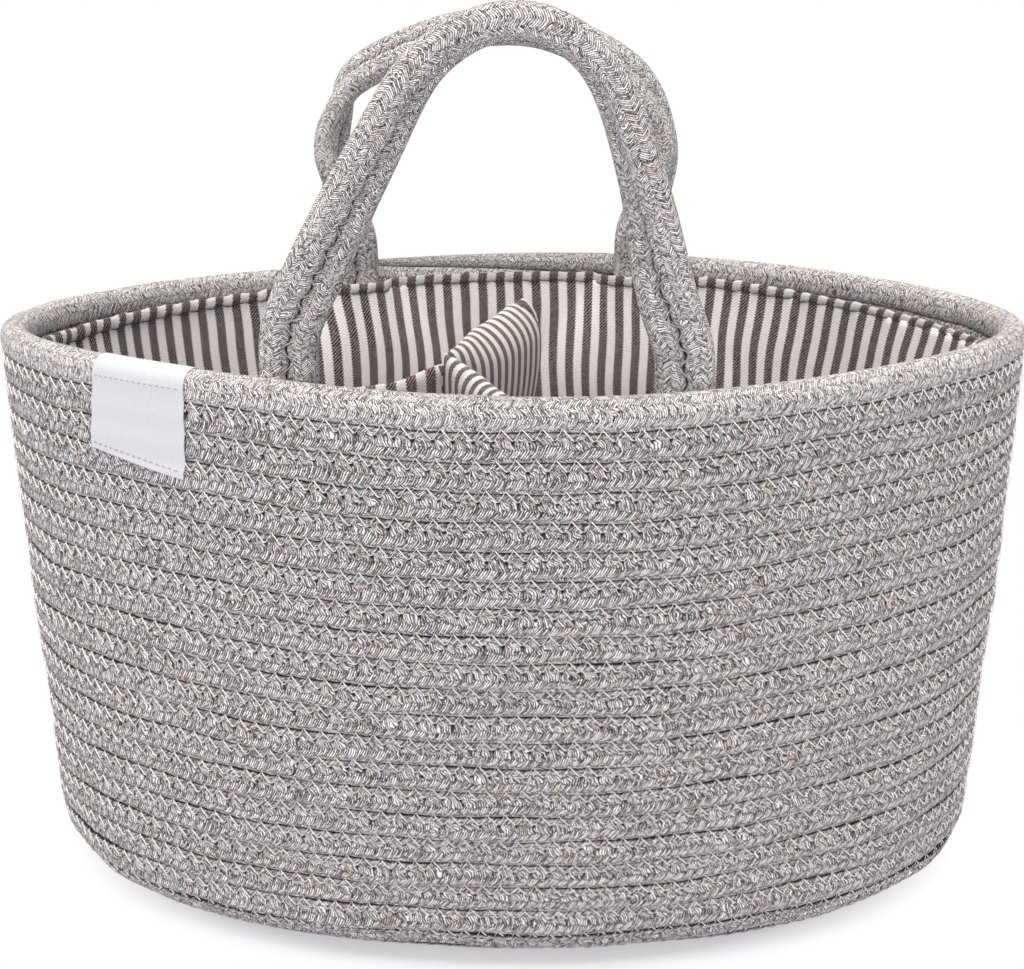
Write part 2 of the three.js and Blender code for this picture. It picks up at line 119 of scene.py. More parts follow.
def shell(t, travel, inset):
    """Points inset inside the outer face. Travel is below 0 on the floor and above it on the wall."""
    t, travel, inset = np.broadcast_arrays(t, travel, inset)
    bend = np.clip(travel, 0, BEND_TRAVEL) / BEND_RADIUS
    rise = np.maximum(travel - BEND_TRAVEL, 0)
    reach = CORNER - inset
    z = CORNER - FLOOR_CUT - reach * np.cos(bend) + rise
    level = np.clip(z, 0, None) / RIM_HEIGHT
    inward = CORNER - reach * np.sin(bend)
    bow = 4 * WALL_BOW * level * (1 - level)
    half_length = (FOOT_LENGTH + (RIM_LENGTH - FOOT_LENGTH) * level) / 2 + bow
    half_depth = (FOOT_DEPTH + (RIM_DEPTH - FOOT_DEPTH) * level) / 2 + bow
    x, y, nx, ny = outline(t, half_length, half_depth, level)
    along = x / half_length
    lift = level * (RIM_TWIST * along * y / half_depth - RIM_END_DIP * along * along)
    x, y = x - nx * inward, y - ny * inward
    core = np.clip(x, -CORE_LENGTH / 2, CORE_LENGTH / 2)
    share = np.clip(1 + travel / FLOOR_TRAVEL, 0, 1)
    return np.stack([core + (x - core) * share, y * share, z + lift], axis=-1)


def travel_at(z):
    """How far up the wall a height is."""
    return BEND_TRAVEL + z + FLOOR_CUT - CORNER


def eased(share):
    """A smooth step: 0 below 0, 1 above 1, and level at both."""
    s = np.clip(share, 0, 1)
    return s * s * (3 - 2 * s)


def unit(vectors):
    """The same directions, each with a length of 1."""
    return vectors / np.linalg.norm(vectors, axis=-1, keepdims=True)


def run_along(points):
    """How far along its line each point is."""
    return np.concatenate([[0], np.cumsum(np.linalg.norm(np.diff(points, axis=0), axis=1))])


# %% [markdown]
# A long soft piece is a grid of faces that is bent to a formula. Blender's grid operator makes the faces,
# and each vertex is then sent to its place by its two shares, from 0 to 1. A tube is such a grid whose
# long sides are welded together. The grid's shares also go into a UV map, in metres along the piece, so
# that a weave can follow the cloth or the rope wherever it bends.

# %% Grids bent to a formula
WELD = 0.01 * MM


def bent_grid(name, columns, rows, place, spread, weld=None, fill=False):
    """A grid whose points are place(u, v), with a UV map of spread(u, v).

    Points closer than the weld are joined, and fill closes the ends of a tube.
    """
    bm = bmesh.new()
    bmesh.ops.create_grid(bm, x_segments=columns, y_segments=rows, size=1)
    mesh = bpy.data.meshes.new(name)
    bm.to_mesh(mesh)
    bm.free()
    flat = np.zeros(len(mesh.vertices) * 3, np.float32)
    mesh.vertices.foreach_get("co", flat)
    u = (flat[0::3].astype(float) + 1) / 2
    v = (flat[1::3].astype(float) + 1) / 2
    mesh.vertices.foreach_set("co", place(u, v).astype(np.float32).ravel())
    corner = np.zeros(len(mesh.loops), np.int32)
    mesh.loops.foreach_get("vertex_index", corner)
    across, up = spread(u, v)
    layer = mesh.uv_layers.new(name="weave")
    layer.data.foreach_set("uv", np.stack([across, up], -1)[corner].astype(np.float32).ravel())
    bm = bmesh.new()
    bm.from_mesh(mesh)
    if weld:
        bmesh.ops.remove_doubles(bm, verts=bm.verts, dist=weld)
    if fill:
        bmesh.ops.holes_fill(bm, edges=bm.edges, sides=0)
    bmesh.ops.recalc_face_normals(bm, faces=bm.faces)
    bm.to_mesh(mesh)
    bm.free()
    return shown(name, mesh)


def shown(name, mesh):
    """A smooth piece in the scene."""
    mesh.polygons.foreach_set("use_smooth", [True] * len(mesh.polygons))
    piece = bpy.data.objects.new(name, mesh)
    bpy.context.scene.collection.objects.link(piece)
    return piece


def lay_out(piece, body, material, nodes=()):
    """Dresses a piece: its body, its finish, and the CAD nodes that it stands for."""
    piece.data.materials.append(material)
    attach(piece, body)
    if nodes:
        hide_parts(*nodes)
    print(f"{piece.name}: {len(piece.data.polygons)} faces")
    return piece


# %% [markdown]
# ## Colours and nodes
#
# Colours are written as they are picked on a screen, in sRGB, and Blender wants them linear. One function
# turns them. One more adds a shader node with its settings and its links. A link can be another node, so
# a pattern is written like a sum, with the nodes inside one another.

# %% Helpers for materials
def colour(code):
    """An sRGB hex colour as Blender's linear one."""
    values = [int(code[i:i + 2], 16) / 255 for i in (1, 3, 5)]
    linear = [c / 12.92 if c <= 0.04045 else ((c + 0.055) / 1.055) ** 2.4 for c in values]
    return (*linear, 1.0)


def join(node, links):
    """Sets a node's inputs, by name or in their order, to a node, a socket or a value."""
    pairs = links.items() if isinstance(links, dict) else enumerate(links)
    for key, value in pairs:
        if isinstance(value, bpy.types.Node):
            value = value.outputs[0]
        if isinstance(value, bpy.types.NodeSocket):
            node.id_data.links.new(value, node.inputs[key])
        else:
            node.inputs[key].default_value = value


def add(tree, kind, links=(), **settings):
    """Adds a node with its settings and its links."""
    made = tree.nodes.new("ShaderNode" + kind)
    for key, value in settings.items():
        setattr(made, key, value)
    join(made, links)
    return made


def new_material(name, **inputs):
    """A material, its Principled shader with these inputs, and what adds a node to its tree."""
    material = bpy.data.materials.new(name)
    material.use_nodes = True
    shader = material.node_tree.nodes["Principled BSDF"]
    join(shader, {key.replace("_", " "): value for key, value in inputs.items()})
    return material, shader, functools.partial(add, material.node_tree)


def set_ramp(ramp, stops):
    """Gives a Color Ramp node its stops, a list of (place, colour)."""
    band = ramp.color_ramp
    while len(band.elements) > 1:
        band.elements.remove(band.elements[-1])
    band.elements[0].position = stops[0][0]
    band.elements[0].color = colour(stops[0][1])
    for place, code in stops[1:]:
        band.elements.new(place).color = colour(code)
    return ramp


# %% [markdown]
# ## Braided cotton rope
#
# The rope is a cotton braid of heathered yarn, light grey with some dark and a few coloured flecks. Round
# the rope its yarns lie in bands, leaning one way and then the other, so each row of rope shows a
# herringbone. The pattern could be modelled, but thousands of yarns would be far too many faces. So the
# rope's UV map draws it: across the bands a zigzag bends the yarns, and each yarn has its own grey. The
# eye sees a matt, soft rope: painted shade draws dark lines between the yarns, and there is no shine but
# the fibres' faint sheen. The size of a noise is a millimetre divided by how many of its spots lie in one,
# here and in the cloths.

# %% The yarn's sizes and colours
COIL_BANDS = 10
HANDLE_BANDS = 12
YARNS_IN_STRAND = 4
YARNS_SLANT = 2.6
STRAND_SHIFT_SHARE = 0.37
WANDER_SIZE = MM / 0.26
WANDER = 0.32 * MM
BAND_WANDER_SHARE = 0.24
FIBRE_SIZE = MM / 1.8
FRIZZ = 0.09 * MM
# Painted shade along the crack where two ropes touch: its wander, its reach and how dark it gets.
CRACK_WANDER_SIZE = MM / 0.75
CRACK_WANDER_SHARE = 0.014
CRACK_SHADE_SHARES = (0.06, 0.09)
CRACK_PAINTED_SHADE = 0.08
# Painted shade at the needle holes: its reach and how dark it gets.
HOLE_SHADE_SHARES = (0.45, 1.0)
HOLE_PAINTED_SHADE = 0.03
# Painted shade in the gaps between the yarns: where it starts on a yarn and how dark it gets.
YARN_EDGE_SHADE_SHARE = 0.12
YARN_EDGE_PAINTED_SHADE = 0.06
YARN_RELIEF = 0.35 * MM
STRAND_POWER = 0.3
END_POWER = 0.25
NOISE_RANGE = (0.3, 0.7)
FLECKS_PER_BAND = 1.9
FLECK_RANGE = (0.28, 0.72)
FLECK_SHARE = 0.5
FIBRE_SHARE = 0.3
CHANCE_SHARE = 0.2
YARN_TONES = [(0.14, "#3C3A39"), (0.36, "#A4A1A1"), (0.54, "#EAE8E8"), (0.74, "#FFFFFF")]
YARN_TINTS = [(0.0, "#FFFEFD"), (0.92, "#F6EAE2"), (0.96, "#E9ECF3"), (0.985, "#D3C8C2")]


# %% Cotton rope
def rope_material(name, bands, yarn_step, gap, hole_shade_and_dip, painted_crack_shade):
    """Braided cotton, with so many bands of yarn round the rope and a yarn at each step along it.

    The gap is how high on a yarn its edge of painted shade ends.
    The needle-hole tuple says where the stitch pinches the rope, which is painted with shade there and dipped
    in the relief: its step, its share of the step, its place round the rope, and its size. The crack tuple
    says where a dark line of painted shade marks the touch of two ropes: its first place round the rope and
    half the distance to the next.
    """
    material, shader, node = new_material(name, Roughness=0.92, Sheen_Weight=0.1, Specular_IOR_Level=0.2)
    weave = node("SeparateXYZ", [node("UVMap", uv_map="weave")])
    x, y = weave.outputs["X"], weave.outputs["Y"]
    place = node("TexCoord").outputs["Object"]
    math_node = functools.partial(node, "Math")

    def arch(share, power=1.0):
        """Rises from 0 to 1 and falls back as its share goes from 0 to 1."""
        wave = math_node([math_node([share, math.pi], operation="MULTIPLY")], operation="SINE")
        return math_node([wave, power], operation="POWER")

    # The yarns lean one way in one band and the other way in the next, and none lies quite true.
    slow = node("TexNoise", {"Vector": place, "Scale": 1 / WANDER_SIZE, "Detail": 1.0})
    fine = node("TexNoise", {"Vector": place, "Scale": 1 / FIBRE_SIZE, "Detail": 1.0})
    wander = node("MapRange", [slow, *NOISE_RANGE, -WANDER, WANDER])
    frizz = node("MapRange", [fine, *NOISE_RANGE, -FRIZZ, FRIZZ])
    band_wander = node("MapRange", [slow, *NOISE_RANGE, -BAND_WANDER_SHARE, BAND_WANDER_SHARE])
    along = math_node([math_node([x, wander], operation="ADD"), frizz], operation="ADD")
    round_it = math_node([y, bands, band_wander], operation="MULTIPLY_ADD")
    band = math_node([round_it], operation="FLOOR")
    zigzag = math_node([round_it, 1.0], operation="PINGPONG")
    leaning = math_node([zigzag, YARNS_SLANT * yarn_step, along], operation="MULTIPLY_ADD")
    yarn = math_node([leaning, yarn_step], operation="DIVIDE")

    # Each yarn is round, a few make a strand, and it dives under at the edge of its band.
    in_strand = math_node([yarn, YARNS_IN_STRAND], operation="DIVIDE")
    in_strand = math_node([band, STRAND_SHIFT_SHARE, in_strand], operation="MULTIPLY_ADD")
    ridge = arch(math_node([yarn], operation="FRACT"))
    strand = arch(math_node([in_strand], operation="FRACT"), STRAND_POWER)
    ends = arch(zigzag, END_POWER)
    height = math_node([math_node([ridge, strand], operation="MULTIPLY"), ends], operation="MULTIPLY")

    # A yarn's grey is a sum of flecks, fibres and its own chance. A few yarns have a tint.
    key = node("CombineXYZ", [math_node([yarn], operation="FLOOR"), band, 0.5])
    chance = node("TexWhiteNoise", {"Vector": key})
    across = math_node([round_it, FLECKS_PER_BAND], operation="MULTIPLY")
    fleck_place = node("CombineXYZ", [yarn, across, band])
    fleck = node("TexNoise", {"Vector": fleck_place, "Scale": 1.0, "Detail": 1.0})
    fleck = node("MapRange", [fleck, *FLECK_RANGE, 0.0, 1.0])
    grain = node("MapRange", [fine, *NOISE_RANGE, 0.0, 1.0])
    tone = math_node([grain, FIBRE_SHARE], operation="MULTIPLY")
    tone = math_node([fleck, FLECK_SHARE, tone], operation="MULTIPLY_ADD")
    tone = math_node([chance.outputs["Value"], CHANCE_SHARE, tone], operation="MULTIPLY_ADD")
    second = node("SeparateXYZ", [chance.outputs["Color"]])
    tones = set_ramp(node("ValToRGB", [tone]), YARN_TONES)
    tints = set_ramp(node("ValToRGB", [second.outputs["Y"]]), YARN_TINTS)
    tints.color_ramp.interpolation = "CONSTANT"
    tinted = node("MixRGB", [1.0, tones, tints], blend_type="MULTIPLY")

    # Painted shade darkens the edges of the yarns, the needle holes, and the crack between two ropes.
    step, step_share, round_share, size = hole_shade_and_dip
    steps = math_node([math_node([x, step], operation="DIVIDE"), step_share - 0.5], operation="SUBTRACT")
    near_x = math_node([math_node([steps], operation="FRACT"), 0.5], operation="SUBTRACT")
    near_x = math_node([near_x, step / size], operation="MULTIPLY")
    near_y = math_node([y, round_share], operation="SUBTRACT")
    near_y = math_node([near_y, math.pi * ROPE / size], operation="MULTIPLY")
    near = node("VectorMath", [node("CombineXYZ", [near_x, near_y, 0.0])], operation="LENGTH")
    # Painted shade at the needle hole. The same mask also dips the relief below.
    pinch = node("MapRange", [near.outputs["Value"], *HOLE_SHADE_SHARES, HOLE_PAINTED_SHADE, 1.0])
    # Painted shade along the crack between two ropes.
    wavy = node("TexNoise", {"Vector": place, "Scale": 1 / CRACK_WANDER_SIZE, "Detail": 1.0})
    wavy = node("MapRange", [wavy, *NOISE_RANGE, -CRACK_WANDER_SHARE, CRACK_WANDER_SHARE])
    from_crack = math_node([math_node([y, painted_crack_shade[0]], operation="SUBTRACT"), painted_crack_shade[1]], operation="PINGPONG")
    from_crack = math_node([from_crack, wavy], operation="ADD")
    line = node("MapRange", [from_crack, *CRACK_SHADE_SHARES, CRACK_PAINTED_SHADE, 1.0])
    # Painted shade in the gaps between the yarns, where they part and dive under.
    edge = node("MapRange", [height, YARN_EDGE_SHADE_SHARE, gap, YARN_EDGE_PAINTED_SHADE, 1.0])
    dark = math_node([math_node([edge, pinch], operation="MULTIPLY"), line], operation="MULTIPLY")
    shaded = node("MixRGB", [1.0, tinted, dark], blend_type="MULTIPLY")

    # The relief is the yarns' own, and the fibres roughen it.
    pinched = math_node([height, pinch], operation="MULTIPLY")
    raised = math_node([fine, FIBRE_SHARE, pinched], operation="MULTIPLY_ADD")
    bump = node("Bump", {"Strength": 1.0, "Distance": YARN_RELIEF, "Height": raised})
    join(shader, {"Base Color": shaded, "Normal": bump})
    return material


# %% [markdown]
# ## The coil
#
# The wall and the floor are one rope. It starts on a straight core in the middle of the floor, goes
# round and round it, turns up at the edge and climbs the wall. Each turn lies level, and climbs to the next
# in one short stretch at the back, so that the rim is level too. A helix would be simpler, but its rim
# would slope. The tube is swept along the path, ring by ring, and neighbouring turns press each other
# flat where they meet.

# %% The coil's path
def climbed(turn):
    """Turns are counted back from the rim. High turns lie level and climb in one stretch."""
    whole = np.floor(turn)
    rest = turn - whole
    level = np.clip(turn / WALL_TURNS + 1, 0, 1)
    return whole + rest + (eased(rest / CLIMB_SHARE) - rest) * level


def coil_angle(turn):
    """The angle in plan at a turn."""
    return 2 * np.pi * (END_SHARE + turn)


def coil_travel(turn):
    """Up to the rim by turns, and then along the wedge that is left over the last climb."""
    low = TOP_TRAVEL + PITCH * climbed(turn)
    wedge = (TOP_TRAVEL + TOP_TRAVEL + PITCH * (climbed(turn - 1) + 1)) / 2
    return np.where(turn <= 0, low, wedge)


# %% [markdown]
# A hand-wound rope wavers. Four short waves of different lengths add up to 1.4 mm at most, up or down.
# Each wave is written as its length and size in millimetres and where it starts in radians. The same
# waves, read elsewhere along the rope and a little smaller, sway it in and out.

# %% The wavering rope
TURN_LENGTH = 1.57 * (RIM_LENGTH + RIM_DEPTH)
WAVES = ((31, 0.22, 1.3), (47, 0.34, 4.1), (71, 0.42, 2.2), (113, 0.42, 5.6))
STEADY_TURNS = 0.2
STEADY_FADE_TURNS = 1.5
SWAY_SHARE = 0.6
SWAY_READ_SHARE = 0.83
SWAY_READ_TURNS = 5


def wavered(turn):
    """How far the rope lies off its true line. It is held straight at the rim."""
    around = turn * TURN_LENGTH
    fade = eased((-STEADY_TURNS - turn) / STEADY_FADE_TURNS)
    return fade * sum(size * MM * np.sin(2 * np.pi * around / (length * MM) + start)
                      for length, size, start in WAVES)


def coil_point(turn, inset=ROPE / 2):
    """A point of the rope's middle line, or one at another depth."""
    on_wall = np.clip((turn + WALL_TURNS) / STEADY_FADE_TURNS, 0, 1)
    sway = wavered(turn * SWAY_READ_SHARE + SWAY_READ_TURNS) * SWAY_SHARE * on_wall
    return shell(coil_angle(turn), coil_travel(turn) + wavered(turn), inset + sway)


def coil_frame(turn):
    """Directions along the rope, up the wall and out of it."""
    step = 0.001
    along = unit(coil_point(turn + step) - coil_point(turn - step))
    t, travel = coil_angle(turn), coil_travel(turn)
    up = shell(t, travel + ROPE / 4, ROPE / 2) - shell(t, travel - ROPE / 4, ROPE / 2)
    up = unit(up - along * (up * along).sum(-1, keepdims=True))
    return along, up, np.cross(along, up)


# %% [markdown]
# A zigzag stitch joins each turn to the next. Its thread goes down over the groove on a long slant, dives
# into the lower turn 2.9 mm under the groove, and comes back up to 1.2 mm over it. Each needle hole pulls
# the rope in, and that dimple is modelled, because it catches the light on every row.

# %% Needle holes along the grooves
STITCH_STEP = 6.1 * MM
STITCH_DOWN = 2.9 * MM
STITCH_UP = 1.2 * MM
STITCH_SLANT_SHARE = 0.6
HOLE_RADIUS = 1.3 * MM
HOLE_DEPTH = 1.4 * MM
HOLE_SOFTNESS = 1.3
UP_HOLE_SHARE = 0.4
GROOVE_POINTS = 6000
groove_turns = np.linspace(-ALL_TURNS, 0.2, GROOVE_POINTS)
groove_points = shell(coil_angle(groove_turns), coil_travel(groove_turns) + PITCH / 2, 0.6 * MM)
groove_lengths = run_along(groove_points)
print(f"The sewn groove is {groove_lengths[-1]:.1f} m long.")


def groove_phase(turn):
    """How many stitches along the groove over this turn."""
    return np.interp(turn, groove_turns, groove_lengths) / STITCH_STEP


def hole(turn, offset, phase, reach):
    """How deep the needle pulls the rope in, at an offset from the turn's middle towards a groove."""
    beside = (groove_phase(turn) - phase + 0.5) % 1 - 0.5
    along = beside * STITCH_STEP / HOLE_RADIUS
    across = (offset - (PITCH / 2 - reach)) / HOLE_RADIUS
    return np.exp(-(along * along + across * across) / HOLE_SOFTNESS)


# %% [markdown]
# The rope's section starts as a circle. A power below 1 on its sine and cosine makes it squarer, where the
# turns press on each other and on the lining. The top of the rim is free, so it stays nearly round.

# %% The coil's ropes
ROPE_SIDES = 16
SIDE_POWER = 0.76
FACE_POWER = 0.33
FREE_SIDE_POWER = 0.9
FREE_FACE_POWER = 0.85
PRESS = 0.3 * MM
CROWDING = 0.45
END_THICKNESS_SHARE = 0.25
WALL_YARN = 0.86 * MM
WALL_GAP = 0.72
# Where painted shade marks the crack: on both sides of each wall turn, and only below the rim.
WALL_CRACK_SHADE = (0.25, 0.25)
RIM_YARN = 0.76 * MM
RIM_GAP = 0.46
RIM_CRACK_SHADE = (0.75, 0.5)
# Painted shade at the needle holes: none on the rim, and on the wall where the stitches dive.
NO_HOLE_SHADE_AND_DIP = (STITCH_STEP, 0, 0, 0.001 * MM)
hole_angle = math.asin(((PITCH / 2 - STITCH_DOWN) / (PITCH / 2)) ** (1 / SIDE_POWER)) / (2 * math.pi)
coil_hole_shade_and_dip = (STITCH_STEP, STITCH_SLANT_SHARE, hole_angle, 1.0 * MM)
basket_rope = rope_material("braided_cotton_rope", COIL_BANDS, WALL_YARN, WALL_GAP, coil_hole_shade_and_dip, WALL_CRACK_SHADE)
rim_rope = rope_material("braided_cotton_rim", COIL_BANDS, RIM_YARN, RIM_GAP, NO_HOLE_SHADE_AND_DIP, RIM_CRACK_SHADE)


def rope_tube(name, first, last, step):
    """The stretch of the coil between two turns."""
    length = np.interp(last, groove_turns, groove_lengths) - np.interp(first, groove_turns, groove_lengths)
    columns = max(int(length / step), 8)
    turns = np.linspace(first, last, columns + 1)
    centre = coil_point(turns)
    along, up, out = coil_frame(turns)
    above = np.where(turns < -1, ((coil_point(turns + 1) - centre) * up).sum(-1), PITCH)
    below = np.where(turns > 1 - ALL_TURNS, ((centre - coil_point(turns - 1)) * up).sum(-1), PITCH)
    wedge = np.clip(-climbed(turns - 1), 0, 1)
    above, below = (np.where(turns > 0, PITCH * wedge, room) for room in (above, below))
    thick = np.where(turns > 0, END_THICKNESS_SHARE + (1 - END_THICKNESS_SHARE) * wedge, 1)
    travel = coil_travel(turns)
    bend = eased(travel / PITCH + 0.5) * eased((BEND_TRAVEL - travel) / PITCH + 0.5)

    def around(v):
        """Sides are closer together on the face that shows."""
        return 2 * np.pi * v - CROWDING * np.sin(2 * np.pi * v)

    def place(u, v):
        i = np.rint(u * columns).astype(int)
        angle = around(v)
        side, face = np.sin(angle), np.cos(angle)
        room = np.where(side > 0, above[i], below[i]) / 2 + PRESS
        turn = turns[i]
        free = (turn > -1) & (side > 0)
        side = np.sign(side) * np.abs(side) ** np.where(free, FREE_SIDE_POWER, SIDE_POWER)
        face = np.sign(face) * np.abs(face) ** np.where(free, FREE_FACE_POWER, FACE_POWER)
        pull = hole(turn, side * room, STITCH_SLANT_SHARE, STITCH_DOWN) * (turn < -1)
        pull = pull + UP_HOLE_SHARE * hole(turn - 1, -side * room, 0.0, STITCH_UP)
        pull = pull * (face > 0) * (turn > -WALL_TURNS) * HOLE_DEPTH
        # Outside the bend at the foot the turns fan out, so they are wider there.
        room = room * (1 + np.maximum(face, 0) * bend[i] * ROPE / 2 / BEND_RADIUS)
        depth = face * (ROPE / 2 * thick[i]) - pull
        point = centre[i] + up[i] * (side * room)[:, None] + out[i] * depth[:, None]
        point[:, 2] = np.maximum(point[:, 2], 0)
        return point

    def spread(u, v):
        return np.interp(first + (last - first) * u, groove_turns, groove_lengths), around(v) / (2 * np.pi)

    return bent_grid(name, columns, ROPE_SIDES, place, spread, weld=WELD, fill=True)


# %% The floor and the wall
FLOOR_STEP = 2.6 * MM
WALL_STEP = 1.2 * MM
WALL_PIECES = 4
ROPE_END = CLIMB_SHARE * 0.86
floor_rope = rope_tube("floor_rope", -ALL_TURNS, -WALL_TURNS, FLOOR_STEP)
lay_out(floor_rope, "basket", basket_rope, ["base_coil"])
edges = np.linspace(-WALL_TURNS, -1, WALL_PIECES + 1)
for number in range(WALL_PIECES):
    stretch = rope_tube(f"wall_rope_{number + 1}", edges[number], edges[number + 1], WALL_STEP)
    lay_out(stretch, "basket", basket_rope, ["wall_coil"])
rim = rope_tube("rim_rope", -1, ROPE_END, WALL_STEP)
lay_out(rim, "basket", rim_rope, ["wall_coil"])


# %% [markdown]
# ## The sewing thread
#
# The thread of the zigzag is a thin three-sided tube, because there are more than three thousand
# stitches. Its long stroke lies on top, in plain sight, and its short one sinks into the yarn, so that it
# is drawn thinner. Where the label lies over the wall, the thread is sunk under it.

# %% A thin tube along a path
THIN_WELD = 0.004 * MM
UPWARD = (0.13, 0.21, 1.0)


def swept(name, path, radius, sides, across=None):
    """A thin tube along a path of points. Its radius may change along it."""
    count = len(path)
    along = unit(np.gradient(path, axis=0))
    if across is None:
        across = np.zeros_like(path) + UPWARD
    across = unit(across - along * (across * along).sum(-1, keepdims=True))
    beside = np.cross(along, across)
    lengths = run_along(path)
    radius = np.broadcast_to(radius, (count,))

    def place(u, v):
        i = np.rint(u * (count - 1)).astype(int)
        angle = 2 * np.pi * v
        offset = across[i] * np.cos(angle)[:, None] + beside[i] * np.sin(angle)[:, None]
        return path[i] + offset * radius[i][:, None]

    def spread(u, v):
        return np.interp(u, np.linspace(0, 1, count), lengths), v

    return bent_grid(name, count - 1, sides, place, spread, weld=THIN_WELD, fill=True)


# %% The coil's stitches
LABEL_TOP = (math.radians(221.1), math.radians(234.2))
LABEL_LOW = (math.radians(219.9), math.radians(234.1))
LABEL_DROP = 33 * MM
THREAD = 0.2 * MM
STITCH_SHARES = (0.0, 0.08, 0.3, 0.53, 0.6, 0.65, 0.9)
THREAD_LIFT = 0.3 * MM
DIVE_SHARE = 0.12
LOW_DIVE = 1.4 * MM
HIGH_DIVE = 0.7 * MM
UNDER_LABEL = -0.6 * MM
LONG_STROKE_WIDTH = 1.25
SHORT_STROKE_WIDTH = 0.6


def groove_thread(name, first, last):
    """The zigzag over the groove above each turn, from one turn to another."""
    begin, end = groove_phase(first), groove_phase(last)
    number = np.arange(math.ceil(begin), math.floor(end))
    phases = (number[:, None] + np.array(STITCH_SHARES)).ravel()
    turns = np.interp(phases * STITCH_STEP, groove_lengths, groove_turns)
    part = phases % 1
    slant = STITCH_SLANT_SHARE
    down = np.where(part < slant, part / slant, (1 - part) / (1 - slant))
    lower, upper = coil_point(turns, 0), coil_point(turns + 1, 0)
    width = np.linalg.norm(upper - lower, axis=1)
    up_share = 0.5 + (STITCH_UP - (STITCH_UP + STITCH_DOWN) * down) / width
    path = lower + (upper - lower) * up_share[:, None]
    _, _, out = coil_frame(turns)
    low_dive = eased((down - 1) / DIVE_SHARE + 1) * LOW_DIVE
    high_dive = eased(1 - down / DIVE_SHARE) * HIGH_DIVE
    lift = THREAD_LIFT - np.maximum(low_dive, high_dive)
    t = coil_angle(turns) % (2 * np.pi)
    beside_label = (t > LABEL_LOW[0]) & (t < LABEL_TOP[1])
    under = beside_label & (coil_travel(turns) > TOP_TRAVEL - LABEL_DROP - PITCH / 2)
    lift = np.where(under, UNDER_LABEL, lift)
    path = path + out * lift[:, None]
    path[:, 2] = np.maximum(path[:, 2], THREAD)
    radius = np.where((part > 0) & (part < slant), LONG_STROKE_WIDTH, SHORT_STROKE_WIDTH) * THREAD
    return swept(name, path, radius, 3, across=out)


# %% [markdown]
# Sewing thread is spun cotton or polyester: plain, matt, and a little smoother than the rope. The basket is
# sewn with off-white cotton, which shines out of the dark grooves. The handles' thread is grey and nearly
# hides in the rope, and the hem's thread is dark grey, so that it shows as a dotted line.

# %% Sewing threads
light_thread, _, _ = new_material("light_cotton_thread", Base_Color=colour("#F4F1EE"), Roughness=0.7,
                                  Specular_IOR_Level=0.3)
grey_thread, _, _ = new_material("grey_cotton_thread", Base_Color=colour("#B4B0AC"), Roughness=0.8,
                                 Specular_IOR_Level=0.2)
dark_thread, _, _ = new_material("dark_grey_thread", Base_Color=colour("#4A474B"), Roughness=0.65)
halves = np.linspace(-WALL_TURNS - 1, -1, 3)
for number in range(2):
    stitches = groove_thread(f"wall_stitches_{number + 1}", halves[number], halves[number + 1])
    lay_out(stitches, "basket", light_thread)


# %% [markdown]
# ## Places on the wall
#
# The handles' legs and the lining lie against the wall at known depths. This finds the wall's y at an x.

# %% Places on the wall
FINE_ANGLES = np.linspace(0, 2 * np.pi, 2881)


def wall_y(x, z, side, inset):
    """The y of the wall at an x and a height, on the front (side -1) or the back (side 1)."""
    points = shell(FINE_ANGLES, travel_at(z), inset)
    half = points[points[:, 1] * side > 0]
    order = np.argsort(half[:, 0])
    return np.interp(x, half[order, 0], half[order, 1])


# %% [markdown]
# ## The handles
#
# Each handle is two ropes sewn side by side. They come up behind the lining, lean out, and as they rise
# they roll over each other, so that at the top one lies behind the other. The routes are a few points,
# given as shares of the handle's span and rise, and a smooth curve runs through them. The twist is the
# roll at each point, in degrees. Below the flex height the ropes follow the basket, above it the handle,
# and in between they blend.

# %% Sizes of the handles
HANDLE_ROPE = 9.7 * MM
STRAND_SPACING = 9.2 * MM
TUCK = 46 * MM
FLEX_Z = RIM_HEIGHT + 8 * MM
LEAN = math.radians(7)
TUCK_INSET = ROPE + 0.3 * MM + 4.7 * MM
HANDLES = {
    "front": dict(
        side=-1, span=124 * MM, rise=98.6 * MM, shift=-6.5 * MM,
        path_shares=((-0.5, 0), (-0.495, 0.06), (-0.445, 0.2), (-0.272, 0.6), (-0.122, 0.89),
                     (0.084, 1), (0.27, 0.88), (0.375, 0.56), (0.44, 0.22), (0.485, 0.06), (0.5, 0)),
        twist=(0, 0, 18, 48, 68, 75, 70, 60, 24, 0, 0),
    ),
    "back": dict(
        side=1, span=122 * MM, rise=89 * MM, shift=-9 * MM,
        path_shares=((-0.5, 0), (-0.51, 0.07), (-0.562, 0.22), (-0.578, 0.44), (-0.542, 0.63), (-0.472, 0.79),
                     (-0.21, 0.95), (0.01, 1), (0.22, 0.965), (0.48, 0.77), (0.6, 0.46), (0.555, 0.22),
                     (0.505, 0.07), (0.5, 0)),
        twist=(0, 0, 60, 118, 98, 52, 45, 50, 45, 42, 80, 50, 0, 0),
    ),
}


# %% Curves through points
def smooth_curve(points, count):
    """A curve through the points, which leans into each as its neighbours do."""
    points = np.array(points, float)
    ends = [2 * points[0] - points[1], *points, 2 * points[-1] - points[-2]]
    out = []
    for share in np.linspace(0, len(points) - 1, count):
        i = min(int(share), len(points) - 2)
        f = share - i
        a, b, c, d = ends[i:i + 4]
        bend = (2 * a - 5 * b + 4 * c - d) * f ** 2 + (3 * b - a - 3 * c + d) * f ** 3
        out.append(0.5 * (2 * b + (c - a) * f + bend))
    return np.array(out)


